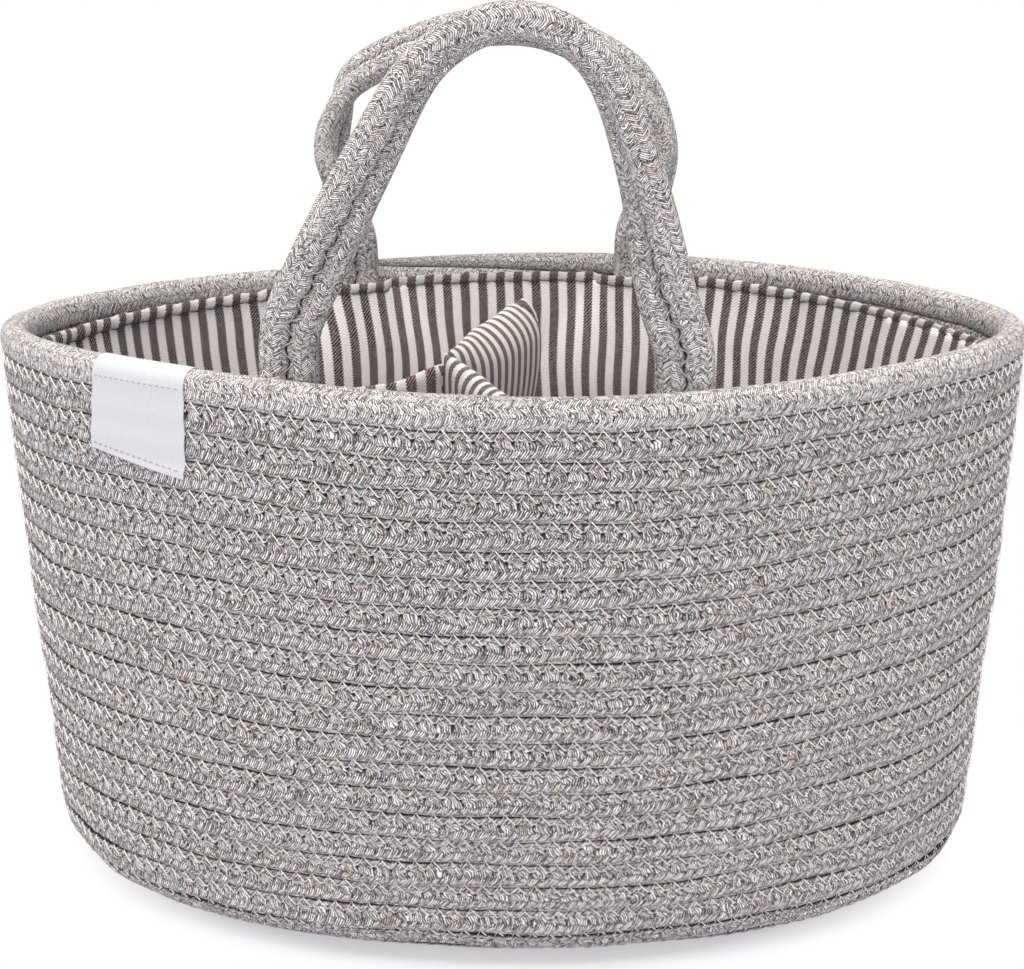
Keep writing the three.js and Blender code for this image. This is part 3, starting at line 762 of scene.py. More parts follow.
def evenly(path, step, *others):
    """The path and the values along it at even steps."""
    lengths = run_along(path)
    marks = np.linspace(0, lengths[-1], int(lengths[-1] / step) + 1)
    resampled = []
    for values in (path, *others):
        values = np.asarray(values, float).reshape(len(path), -1)
        resampled.append(np.stack([np.interp(marks, lengths, column) for column in values.T], -1))
    return marks, resampled


def soften(values, width):
    """A running mean that keeps the ends."""
    kernel = np.hanning(2 * width + 3)[1:-1]
    kernel /= kernel.sum()
    ends = [2 * values[0] - values[width:0:-1], values, 2 * values[-1] - values[-2:-width - 2:-1]]
    padded = np.concatenate(ends)
    return np.stack([np.convolve(column, kernel, "valid") for column in padded.T], -1)


# %% A handle's route
CURVE_POINTS = 300
LEG_POINTS = 12
ROUTE_STEP = 1.3 * MM
SOFT_STEPS = 6


def handle_plane(handle):
    """Where the middle of the handle's foot is, and how its plane is turned and leans."""
    side, span, shift = handle["side"], handle["span"], handle["shift"]
    outer = [shift + sign * (span + STRAND_SPACING) / 2 for sign in (-1, 1)]
    y_left, y_right = (wall_y(x, HEM_TOP, side, TUCK_INSET) for x in outer)
    slope = (y_right - y_left) / (outer[1] - outer[0])
    turn, lean = math.atan(slope), -side * LEAN
    spin = np.array([[math.cos(turn), -math.sin(turn), 0], [math.sin(turn), math.cos(turn), 0], [0, 0, 1]])
    tilt = np.array([[1, 0, 0], [0, math.cos(lean), -math.sin(lean)], [0, math.sin(lean), math.cos(lean)]])
    return (shift, y_left + slope * (shift - outer[0]), FLEX_Z), spin @ tilt


def handle_route(handle):
    """The line between the two ropes, and the direction from the inner to the outer one."""
    side, span, shift = handle["side"], handle["span"], handle["shift"]
    middle, turned = handle_plane(handle)
    flat = smooth_curve(handle["path_shares"], CURVE_POINTS)
    roll = np.radians(smooth_curve([[a] for a in handle["twist"]], CURVE_POINTS)[:, 0])
    level = np.zeros_like(roll)
    local = np.stack([flat[:, 0] * span, level, flat[:, 1] * handle["rise"]], -1)
    along = unit(np.gradient(local, axis=0))
    outwards = np.stack([-along[:, 2], level, along[:, 0]], -1)
    beside = outwards * np.cos(roll)[:, None] + np.array([0, side, 0]) * np.sin(roll)[:, None]
    heights = np.linspace(RIM_HEIGHT - TUCK, HEM_TOP + 6 * MM, LEG_POINTS)
    legs = [np.array([(x, wall_y(x, z, side, TUCK_INSET), z) for z in heights])
            for x in (shift - span / 2, shift + span / 2)]
    leftwards, rightwards = (np.tile((sign, 0.0, 0.0), (LEG_POINTS, 1)) for sign in (-1, 1))
    path = np.concatenate([legs[0], local @ turned.T + middle, legs[1][::-1]])
    beside = np.concatenate([leftwards, beside @ turned.T, rightwards])
    marks, (path, beside) = evenly(path, ROUTE_STEP, beside)
    path, beside = soften(path, SOFT_STEPS), soften(beside, SOFT_STEPS)
    along = unit(np.gradient(path, axis=0))
    beside = unit(beside - along * (beside * along).sum(-1, keepdims=True))
    return marks, path, along, beside


# %% [markdown]
# The zigzag stitch between the two ropes pulls at each in turn, so the line between them sways, and each
# pull dents the rope that it bites into. Both ropes are squashed a little where they touch.

# %% Handle ropes
HANDLE_SIDES = 24
SEAM_STEP = 8.8 * MM
SEAM_SWAY = 0.45 * MM
PINCH_DEPTH = 1.0 * MM
PINCH_RADIUS = 1.9 * MM
TOUCH_POWER = 0.75
HANDLE_FACE_POWER = 0.82
HANDLE_YARN = 0.72 * MM
HANDLE_GAP = 0.52
# Painted shade in the crack where the handle's two ropes touch.
HANDLE_CRACK_SHADE = (0.0, 0.5)
# Painted shade at the needle holes of the seam between the handle's two ropes.
SEAM_HOLE_SHADE_AND_DIP = (SEAM_STEP, 0.25, 0.08, 1.05 * MM)
handle_rope = rope_material("braided_cotton_handle_rope", HANDLE_BANDS, HANDLE_YARN, HANDLE_GAP,
                            SEAM_HOLE_SHADE_AND_DIP, HANDLE_CRACK_SHADE)


def handle_strand(name, route, strand):
    """One rope of a handle, the outer (strand 1) or the inner (strand -1)."""
    marks, path, along, beside = route
    facing = np.cross(along, beside)
    count = len(path)
    radius = HANDLE_ROPE / 2

    def place(u, v):
        i = np.rint(u * (count - 1)).astype(int)
        angle = 2 * np.pi * v
        near, face = -np.cos(angle) * strand, np.sin(angle)
        touch = near * strand < 0
        sway = np.sin(2 * np.pi * marks[i] / SEAM_STEP)
        room = np.where(touch, STRAND_SPACING / 2 - strand * SEAM_SWAY * sway + PRESS, radius)
        across = np.sign(near) * np.abs(near) ** np.where(touch, TOUCH_POWER, 1.0) * room
        pulled = np.clip(strand * sway, 0, 1) ** 3
        from_seam = (room - np.abs(across)) / PINCH_RADIUS
        pinch = pulled * np.exp(-from_seam ** 2) * touch
        depth = np.abs(face) ** HANDLE_FACE_POWER * radius - pinch * PINCH_DEPTH
        depth = np.sign(face) * np.maximum(depth, 0)
        centre = path[i] + beside[i] * (strand * STRAND_SPACING / 2)
        return centre + beside[i] * across[:, None] + facing[i] * depth[:, None]

    def spread(u, v):
        return marks[-1] * u + (strand < 0) * SEAM_STEP / 2, 0.5 - np.abs(v - 0.5)

    return bent_grid(name, count - 1, HANDLE_SIDES, place, spread, weld=WELD, fill=True)


# %% The handles' stitches
SEAM_PHASES = 16
SEAM_REACH = 2.5 * MM
SEAM_DIVE = 1.3 * MM
SEAM_HEIGHT = 0.8 * HANDLE_ROPE / 2


def handle_stitches(name, route):
    """The zigzag thread between the two ropes, on both faces. It dives into each rope at a pinch."""
    marks, path, along, beside = route
    facing = np.cross(along, beside)
    phases = np.arange(1.25, int(marks[-1] / SEAM_STEP) - 1, 1 / SEAM_PHASES)
    swing = np.arcsin(np.sin(2 * np.pi * phases)) * 2 / np.pi
    stops = phases * SEAM_STEP
    at = [np.stack([np.interp(stops, marks, c) for c in v.T], -1) for v in (path, beside, facing)]
    height = SEAM_HEIGHT - SEAM_DIVE * np.abs(swing) ** 5
    pieces = []
    for face, word in ((1, "front"), (-1, "back")):
        thread = at[0] + at[1] * (swing * SEAM_REACH)[:, None] + at[2] * (face * height)[:, None]
        pieces.append(swept(f"{name}_{word}", thread, THREAD, 4, across=at[2] * face))
    return pieces


def dress_handle(name, handle):
    """Both ropes of a handle and their thread."""
    route = handle_route(handle)
    places = [f"{name}_{leg}_{word}_tail" for leg in ("left", "right") for word in ("outer", "inner")]
    dressed = []
    for word, strand in (("outer", 1), ("inner", -1)):
        rope = handle_strand(f"{name}_{word}_handle_rope", route, strand)
        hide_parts(f"{name}_handle_{word}_rope", *[place for place in places if word in place])
        dressed.append((rope, handle_rope))
    dressed += [(thread, grey_thread) for thread in handle_stitches(f"{name}_handle_stitches", route)]
    for piece, material in dressed:
        piece.data.materials.append(material)
        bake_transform(piece)
    length, top = route[0][-1] / MM, route[1][:, 2].max() / MM
    print(f"The {name} handle's ropes are {length:.0f} mm long and reach {top:.0f} mm.")


for name, handle in HANDLES.items():
    dress_handle(name, handle)


# %% [markdown]
# ## Striped twill
#
# The cloth has even stripes of dark taupe and off-white, 4 mm each. It is a twill: fine diagonal ribs cross
# it, and where two stripes meet the ribs make the edge a small saw. The pattern is drawn in the cloth's own
# UV map, in metres across and along the cloth. Real ribs are finer than a pixel of the render, so they are
# drawn 1.5 mm apart, as coarse as they need to show. The eye sees a dry, matt cloth whose dark stripes
# sparkle with light threads. The same twill has three tones here: lit in the lining, darker on the hem,
# which is painted shade for its roll, and a little greyer on the padded divider.

# %% Ticking
STRIPE = 8 * MM
STRIPE_BLUR = 0.12 * MM
RIB = 1.5 * MM
SAW = 1.2 * MM
SAW_SLOPE = 1.1
DRIFT_SIZE = MM / 0.06
DRIFT = 0.5 * MM
THREAD_SIZE = MM / 1.0
THREAD_SHARE = 1.3
RIB_SHARE = 0.75
TONE_SHIFT = -0.53


def twill_material(name, dark, light):
    """Cotton ticking, with the darkest and lightest thread of its dark and of its light stripes."""
    material, shader, node = new_material(name, Roughness=0.9, Specular_IOR_Level=0.2, Sheen_Weight=0.08)
    math_node = functools.partial(node, "Math")
    weave = node("SeparateXYZ", [node("UVMap", uv_map="weave")])
    x, y = weave.outputs["X"], weave.outputs["Y"]
    place = node("TexCoord").outputs["Object"]
    saw = math_node([y, SAW / 2], operation="PINGPONG")
    edge = math_node([saw, SAW_SLOPE, x], operation="MULTIPLY_ADD")
    drift = node("TexNoise", {"Vector": place, "Scale": 1 / DRIFT_SIZE, "Detail": 1.0})
    edge = math_node([drift, DRIFT, edge], operation="MULTIPLY_ADD")
    wave = math_node([edge, STRIPE / 2], operation="PINGPONG")
    stripe = node("MapRange", [wave, STRIPE / 4 - STRIPE_BLUR, STRIPE / 4 + STRIPE_BLUR])
    slant = math_node([x, y], operation="ADD")
    rib = math_node([math_node([slant, 2 * math.pi / RIB], operation="MULTIPLY")], operation="SINE")
    rib = node("MapRange", [rib, -1.0, 1.0, 0.0, 1.0])
    fine = node("TexNoise", {"Vector": place, "Scale": 1 / THREAD_SIZE, "Detail": 2.0})
    tone = math_node([fine, THREAD_SHARE], operation="MULTIPLY")
    tone = math_node([rib, RIB_SHARE, tone], operation="MULTIPLY_ADD")
    tone = math_node([tone, TONE_SHIFT], operation="ADD")
    dark_ramp = set_ramp(node("ValToRGB", [tone]), [(0.1, dark[0]), (0.9, dark[1])])
    light_ramp = set_ramp(node("ValToRGB", [tone]), [(0.1, light[0]), (0.9, light[1])])
    cloth = node("MixRGB", [stripe, dark_ramp, light_ramp])
    height = math_node([fine, 0.6, rib], operation="MULTIPLY_ADD")
    bump = node("Bump", {"Strength": 0.35, "Distance": 0.12 * MM, "Height": height})
    join(shader, {"Base Color": cloth, "Normal": bump})
    return material


lining_twill = twill_material("striped_twill_lining", ("#0C0708", "#978A88"), ("#E2DFDF", "#FAF8F8"))
divider_twill = twill_material("striped_twill_divider", ("#0C0708", "#8B7E7D"), ("#C5C1C0", "#DDD9D8"))
# The hem's copy of the twill is darker: painted shade for its roll.
hem_twill_painted_shade = twill_material("striped_twill_hem_painted_shade", ("#0C0708", "#7A6F6D"), ("#B2AFAF", "#CFCCCC"))


# %% [markdown]
# ## The lining
#
# The wall cloth hangs just inside the rope, in shallow folds, and passes over the sewn ends of the
# handles. It is gathered a little at the hem, so small puckers run down from it. A second cloth lies on
# the floor. The hem is the cloth's top edge, rolled to a band and sewn to the rope with dark thread. Cloth
# this shallow needs no simulation: the folds are waves, whose lengths go a whole number of times round.

# %% Over the handles' ends
LINING = 0.9 * MM
CLOTH = 0.7 * MM
LEG_FADE = 17 * MM
LEG_WIDE = 30 * MM
LEG_WIDE_DROP = 50 * MM
LEG_RISE = 60 * MM
LEG_CLEARANCE = 0.2 * MM


def leg_bulge(points):
    """How far the cloth stands off the wall, over the ends of the handles behind it."""
    x, y, z = points[..., 0], points[..., 1], points[..., 2]
    most = np.zeros_like(x)
    fade = LEG_FADE + LEG_WIDE * eased((HEM_TOP - z) / LEG_WIDE_DROP)
    for handle in HANDLES.values():
        for x_leg in (handle["shift"] - handle["span"] / 2, handle["shift"] + handle["span"] / 2):
            beyond = np.abs(x - x_leg) - STRAND_SPACING / 2
            near = (1 - eased(beyond / fade)) * (y * handle["side"] > 0)
            most = np.maximum(most, near)
    low = RIM_HEIGHT - TUCK - LEG_RISE
    return most * eased((z - low) / LEG_RISE) * (HANDLE_ROPE + LEG_CLEARANCE)


# %% Round the lining
RING_ANGLES = np.linspace(0, 2 * np.pi, 2001)
ring_lengths = run_along(shell(RING_ANGLES, travel_at(HEM_TOP), ROPE + LINING))
STRIPES_ROUND = round(ring_lengths[-1] / STRIPE)
LINING_ROUND = STRIPES_ROUND * STRIPE
print(f"The lining goes {ring_lengths[-1] / MM:.0f} mm round, with {STRIPES_ROUND} dark stripes.")


def round_length(t):
    """Metres of cloth round the lining at an angle."""
    return np.interp(t % (2 * np.pi + 1e-9), RING_ANGLES, ring_lengths) * LINING_ROUND / ring_lengths[-1]


def angle_of(share):
    """The angle in plan at a share of the way round."""
    return np.interp(share * ring_lengths[-1], ring_lengths, RING_ANGLES)


# %% [markdown]
# The puckers are four waves, each written as its length in millimetres, its size and its start. The hem
# sags towards the ends, and the stripes under it lean, because the cloth is not sewn in quite level. Both
# are read from short tables over the angle in plan, in degrees: the sag in millimetres, the lean as a
# share of the drop.

# %% Folds and puckers
HEM_HEIGHT = 5.4 * MM
HEM_DEPTH = 2.6 * MM
PUCKERS = ((7.7, 1.0, 0.4), (11.3, 0.7, 2.9), (5.1, 0.45, 1.7), (17.9, 0.8, 5.2))
HEM_SAG = ((0, 12, 28, 42, 60, 118, 132, 150, 168, 190, 270, 360), (4, 4, 3, 2, 0, 0, 1.2, 2.3, 4, 4, 1, 4))
STRIPE_LEAN = ((0, 35, 60, 90, 115, 145, 180, 320, 360),
               (-0.24, -0.26, -0.13, 0.04, 0.2, 0.08, -0.02, 0, -0.24))
FOLD_DEPTH = 2.2 * MM
FOLD_LOW = 14 * MM
FOLD_LOW_FADE = 60 * MM
FOLD_TOP_FADE = 30 * MM
GATHER_DEPTH = 1.1 * MM
GATHER_DROP = 9 * MM


def pucker(t, phase=0.0):
    """Short waves along the gathered edge, from -1 to 1."""
    around = round_length(t) / MM
    whole = LINING_ROUND / MM
    waves = [size * np.sin(2 * np.pi * around * round(whole / length) / whole + start + phase)
             for length, size, start in PUCKERS]
    return sum(waves) / sum(size for _, size, _ in PUCKERS)


def hem_drop(t):
    """The hem sags towards the ends."""
    return np.interp(np.degrees(t) % 360, *HEM_SAG) * MM


def lining_point(t, travel):
    """A point of the wall cloth."""
    base = shell(t, travel, ROPE)
    z = base[..., 2]
    slow = 0.5 + 0.3 * np.sin(7 * t + 0.6) + 0.2 * np.sin(13 * t + 2.0)
    room = eased((z - FOLD_LOW) / FOLD_LOW_FADE) * eased((HEM_TOP - z) / FOLD_TOP_FADE)
    gather = np.exp(-np.clip(HEM_TOP - HEM_HEIGHT - z, 0, None) / GATHER_DROP)
    fold = FOLD_DEPTH * slow * room
    gathered = GATHER_DEPTH * (0.5 + 0.5 * pucker(t, 1.1)) * gather
    return shell(t, travel, ROPE + LINING + fold + gathered + leg_bulge(base))


# %% The wall cloth
LINING_COLUMNS = 800
LINING_ROWS = 58
LINING_LOW = 0.12 * BEND_TRAVEL
LINING_HIGH = travel_at(HEM_TOP - HEM_HEIGHT / 2)
LEAN_DROP = 70 * MM
STRIPE_SWAY = 0.5 * MM
STRIPE_SWAY_LENGTH = 8.5 * MM
STRIPE_SWAY_FADE = 25 * MM


def lining_place(u, v):
    t = 2 * np.pi * u
    return lining_point(t, LINING_LOW + (LINING_HIGH - hem_drop(t) - LINING_LOW) * v)


def lining_spread(u, v):
    """The cloth hangs a little askew, so its stripes lean and sway."""
    t, up = 2 * np.pi * u, (LINING_HIGH - LINING_LOW) * v
    drop = LINING_HIGH - LINING_LOW - up
    lean = np.interp(np.degrees(t), *STRIPE_LEAN) * LEAN_DROP * (1 - np.exp(-drop / LEAN_DROP))
    sway = STRIPE_SWAY * np.sin(drop / STRIPE_SWAY_LENGTH + 9 * t) * eased(drop / STRIPE_SWAY_FADE)
    return round_length(t) + lean + sway, up


def thicken(piece, thickness):
    """Gives a cut sheet its thickness."""
    solid = piece.modifiers.new("thickness", "SOLIDIFY")
    solid.thickness = thickness
    solid.offset = 0
    return piece


lining_cloth = bent_grid("lining_wall_cloth", LINING_COLUMNS, LINING_ROWS, lining_place, lining_spread,
                         weld=WELD)
thicken(lining_cloth, CLOTH)
lay_out(lining_cloth, "basket", lining_twill, ["lining_wall"])


# %% [markdown]
# The floor cloth is an oval sheet. Its grid runs round and round like the rope under it and closes on the
# core in the middle, where the two sides of the slit are welded. Its stripes run straight across the
# floor, so its UV map is simply its x and y.

# %% The floor cloth
FLOOR_COLUMNS = 240
FLOOR_ROWS = 60
FLOOR_INSET = ROPE + 1.2 * MM
FLOOR_EDGE = 0.2 * BEND_TRAVEL
FLOOR_WELD = 0.5 * MM
DIMPLE = 0.15 * MM
DIMPLE_SIZES = (9 * MM, 8 * MM)


def floor_place(u, v):
    points = shell(2 * np.pi * u, -FLOOR_TRAVEL + (FLOOR_TRAVEL + FLOOR_EDGE) * v, FLOOR_INSET)
    dimple = DIMPLE * np.sin(points[..., 0] / DIMPLE_SIZES[0]) * np.sin(points[..., 1] / DIMPLE_SIZES[1] + 1)
    points[..., 2] += dimple * (v < 0.9)
    return points


def floor_spread(u, v):
    points = floor_place(u, v)
    return points[..., 0], points[..., 1]


floor_cloth = bent_grid("lining_floor_cloth", FLOOR_COLUMNS, FLOOR_ROWS, floor_place, floor_spread,
                        weld=FLOOR_WELD)
thicken(floor_cloth, CLOTH)
lay_out(floor_cloth, "basket", lining_twill, ["lining_floor"])


# %% [markdown]
# The hem is a flattened tube round the top of the wall cloth. It is fatter at the left end, where the
# cloth is bunched, and thinner at the right. Its lower half is shallow, with a waist where the dark
# stitches pull it in. Stripes that run straight up the cloth slant round the roll, most at the two ends.

# %% The hem
HEM_COLUMNS = 1400
HEM_ROWS = 18
HEM_FATTER_SHARE = 0.35
HEM_THINNER_SHARE = 0.3
HEM_INSET = ROPE + 0.2 * MM
HEM_LOW_SHARE = 0.62
WAIST_SHARE = 0.35
WAIST_UP = -0.42
WAIST_WIDTH = 0.12
HEM_WAVER = 0.5 * MM
HEM_SLANT = 1.5 * MM
HEM_END_SLANT = 4 * MM


def hem_point(t, angle, grow=0.0):
    """The rolled band. Its height and depth swell and shrink with the puckers."""
    base = shell(t, travel_at(HEM_TOP), ROPE)
    wave = pucker(t, 0.5)
    left_end, right_end = (np.clip(sign * np.cos(t) - 0.6, 0, 1) / 0.4 for sign in (-1, 1))
    fat = 1 + HEM_FATTER_SHARE * left_end - HEM_THINNER_SHARE * right_end
    height = HEM_HEIGHT / 2 * (fat + 0.16 * wave) + grow
    depth = HEM_DEPTH / 2 * (fat + 0.35 * wave) + grow
    up, inwards = np.sin(angle), np.cos(angle)
    up = np.where(up > 0, np.abs(up) ** 0.75, -HEM_LOW_SHARE * np.abs(up) ** 0.8)
    inwards = np.sign(inwards) * np.abs(inwards) ** 0.85
    waist = 1 - WAIST_SHARE * np.exp(-((up - WAIST_UP) / WAIST_WIDTH) ** 2) * (inwards > 0)
    middle = LINING_HIGH - hem_drop(t) + HEM_WAVER * pucker(t, 2.0)
    inset = HEM_INSET + leg_bulge(base) + depth + inwards * depth * waist
    return shell(t, middle + up * height, inset)


def hem_place(u, v):
    return hem_point(2 * np.pi * u, 2 * np.pi * v)


def hem_spread(u, v):
    """The UV map's seam lies at the back of the roll, against the rope."""
    slant = HEM_SLANT + HEM_END_SLANT * eased(2 * np.abs(np.cos(2 * np.pi * u)) - 1)
    return round_length(2 * np.pi * u) + ((v + 0.5) % 1 - 0.5) * slant, v * 2 * (HEM_HEIGHT + HEM_DEPTH)


hem = bent_grid("lining_hem_band", HEM_COLUMNS, HEM_ROWS, hem_place, hem_spread, weld=WELD)
# The hem wears the darker twill, which is painted shade.
lay_out(hem, "basket", hem_twill_painted_shade, ["lining_hem"])


# %% [markdown]
# Running stitches are dashes of thread that dive into the cloth at both ends. Each dash is a short tube,
# and all dashes of a line are joined into one piece.

# %% The hem's running stitches
DASH = 6.0 * MM
DASH_STEP = 6.6 * MM
DASH_POINTS = 6
DASH_SIDES = 5
DASH_ANGLE = -0.72


def joined(name, pieces):
    """Joins small pieces into one."""
    bm = bmesh.new()
    for piece in pieces:
        bm.from_mesh(piece.data)
    mesh = bpy.data.meshes.new(name)
    bm.to_mesh(mesh)
    bm.free()
    for piece in pieces:
        old = piece.data
        bpy.data.objects.remove(piece)
        bpy.data.meshes.remove(old)
    return shown(name, mesh)


def dashes(name, count, point_at, dash_share):
    """Running stitches along a line. It is given by a function of the share along it."""
    made = []
    for number in range(count):
        shares = (number + np.linspace(0, dash_share, DASH_POINTS)) / count
        path, out = point_at(shares)
        dive = np.abs(np.linspace(-1, 1, DASH_POINTS)) ** 4
        path = path - out * (dive * 2 * THREAD)[:, None]
        made.append(swept(f"{name}_{number}", path, THREAD, DASH_SIDES, across=out))
    return joined(name, made)


def hem_line(share):
    """Along the hem's waist, at a share of the way round."""
    t = angle_of(share)
    angle = DASH_ANGLE + 0.07 * np.sin(9 * t)
    path = hem_point(t, angle, 0.15 * MM)
    out = unit(hem_point(t, angle, 1 * MM) - path)
    return path, out


hem_dashes = dashes("hem_stitches", round(ring_lengths[-1] / DASH_STEP), hem_line, DASH / DASH_STEP)
lay_out(hem_dashes, "basket", dark_thread)


# %% [markdown]
# ## The label
#
# A short white satin tape is folded over the rim and sewn through the rope, with a line of stitches at
# each end. It is left bare. Satin is woven from smooth polyester with long floats, so it is whiter and
# smoother than the cotton round it, with a soft sheen and the faintest grain across the tape.

# %% The label's shape
LABEL_WIDTH = 40 * MM
LABEL_THICKNESS = 0.35 * MM
LABEL_GAP = 0.35 * MM
RIM_RADIUS = ROPE / 2 + LABEL_GAP
OUTSIDE = LABEL_DROP - ROPE / 2
OVER = math.pi * RIM_RADIUS
INSIDE = 5 * MM
LABEL_LENGTH = OUTSIDE + OVER + INSIDE
LABEL_SKEW = 4.6 * MM
LABEL_WAVE = 0.22 * MM
LABEL_CURL = 0.8 * MM
LABEL_CURL_SHARE = 0.07


def label_point(u, v, lift=0.0):
    """u goes along the rim and v from the low edge outside, over the rim, to the edge inside."""
    run = v * LABEL_LENGTH
    run = run + (0.5 - u) * LABEL_SKEW * np.clip(1 - run / OUTSIDE, 0, 1)
    low_share = np.clip(1 - run / OUTSIDE, 0, 1)
    ends = [high + (low - high) * low_share for high, low in zip(LABEL_TOP, LABEL_LOW)]
    t = ends[0] + (ends[1] - ends[0]) * u
    over = np.clip((run - OUTSIDE) / OVER, 0, 1) * math.pi
    radius = RIM_RADIUS + lift
    travel = TOP_TRAVEL - np.clip(OUTSIDE - run, 0, None) + radius * np.sin(over)
    travel = travel - np.clip(run - OUTSIDE - OVER, 0, None)
    inset = ROPE / 2 - radius * np.cos(over)
    rows = LABEL_WAVE * np.cos(2 * np.pi * (travel - TOP_TRAVEL) / PITCH) * (low_share > 0)
    curl = LABEL_CURL * np.clip(low_share - 1 + LABEL_CURL_SHARE, 0, 1) / LABEL_CURL_SHARE * u
    return shell(t, travel, inset - rows - curl)


def label_spread(u, v):
    return u * LABEL_WIDTH, v * LABEL_LENGTH


# %% White satin tape
FLOAT_SIZES = (MM / 0.9, MM / 5.2)
satin, shader, node = new_material("white_satin_tape", Roughness=0.45, Sheen_Weight=0.1)
float_scale = (1 / FLOAT_SIZES[0], 1 / FLOAT_SIZES[1], 1.0)
floats = node("Mapping", {"Vector": node("UVMap", uv_map="weave"), "Scale": float_scale})
weft = node("TexNoise", {"Vector": floats, "Scale": 1.0, "Detail": 2.0}, noise_dimensions="2D")
whites = set_ramp(node("ValToRGB", [weft]), [(0.3, "#BBBEC2"), (0.7, "#C9CCCF")])
bump = node("Bump", {"Strength": 0.2, "Distance": 0.05 * MM, "Height": weft})
join(shader, {"Base Color": whites, "Normal": bump})
label = bent_grid("label_tape", 60, 90, label_point, label_spread)
thicken(label, LABEL_THICKNESS)
lay_out(label, "basket", satin, ["label_tag"])

# %% The label's stitches
LABEL_MARGIN = 1.2 * MM
LABEL_STITCHES = 15
LABEL_DASH_SHARE = 0.68
LOW_LINE = 2.2 * MM
HIGH_LINE = OUTSIDE - 0.5 * MM
tape_thread, _, _ = new_material("silver_grey_polyester_thread", Base_Color=colour("#9A9BA3"), Roughness=0.5)


def label_line(run):
    """A line of stitches across the outside of the label, so far up along it."""
    def at(share):
        u = (LABEL_MARGIN + share * (LABEL_WIDTH - 2 * LABEL_MARGIN)) / LABEL_WIDTH
        _, _, nx, ny = outline(np.full_like(u, LABEL_TOP[0]), RIM_LENGTH / 2, RIM_DEPTH / 2, 1.0)
        out = np.stack([nx, ny, np.zeros_like(nx)], -1)
        return label_point(u, run / LABEL_LENGTH) + out * THREAD_LIFT, out
    return at


low_line = dashes("label_low_stitches", LABEL_STITCHES, label_line(LOW_LINE), LABEL_DASH_SHARE)
high_line = dashes("label_high_stitches", LABEL_STITCHES, label_line(HIGH_LINE), LABEL_DASH_SHARE)
for line in (low_line, high_line):
    lay_out(line, "basket", tape_thread)


# %% [markdown]
# ## The areas of the cloths
#
# The area of each cloth is summed from its faces and printed.
# The wall cloth is a strip with a whole number of stripes, closed to a ring. The floor cloth is an oval
# that fits a rectangle of the foot's size less the rope.

def cut_area(piece):
    """Square metres of cloth in a piece."""
    areas = np.zeros(len(piece.data.polygons), np.float32)
    piece.data.polygons.foreach_get("area", areas)
    return float(areas.sum())


cut_area(lining_cloth)
cut_area(floor_cloth)
print(f"Cloth: {cut_area(lining_cloth):.4f} m2 on the wall, {cut_area(floor_cloth):.4f} m2 on the floor")


# %% [markdown]
# ## The divider
#
# Three padded wings of the same twill meet at an upright seam. The cloth is slack, so the long wings
# lean over at the top, and the stripes curve with it. A wing is a thin pillow: two faces that close to
# a seam at every edge.

# %% The divider's wings
SEAM_PLACE_SHARES = (-0.133, -0.024)
WING_LOW = 11.2 * MM
WING_HALF = 1.9 * MM
WING_EDGE = 4 * MM
CORNER_SHARE = 0.08
CORNER_HEIGHT = 70 * MM
DOG_EAR_SPREAD = (110 / 9, 190 / 17)
BELLY_TOP = 182 * MM
BELLY_REACH = 30 * MM
WINGS = {
    "left": dict(end_shares=(-0.65, -0.4), bow=0.036, top=197 * MM, fall=4.5 * MM, fall_share=0.22, lean=1,
                 roll=0.3, roll_share=0.3, roll_radius=12 * MM, dog_ear=0, belly=0, stripes=1),
    "back": dict(end_shares=(0.05, 0.775), bow=-0.064, top=201 * MM, fall=0, fall_share=1, lean=-1,
                 roll=1.25, roll_share=0.45, roll_radius=15 * MM, dog_ear=4.5 * MM, belly=4 * MM, stripes=1),
    "front": dict(end_shares=(0.074, -0.742), bow=0.0, top=201 * MM, fall=3 * MM, fall_share=0.4, lean=1,
                  roll=1.25, roll_share=0.25, roll_radius=7.5 * MM, dog_ear=0, belly=0, stripes=1.25),
}


def divider_place(shares, level):
    """A place in plan, as shares of the basket's half length and half depth at a level."""
    half_length = (FOOT_LENGTH + (RIM_LENGTH - FOOT_LENGTH) * level) / 2
    half_depth = (FOOT_DEPTH + (RIM_DEPTH - FOOT_DEPTH) * level) / 2
    return np.stack([shares[0] * half_length, shares[1] * half_depth], -1)


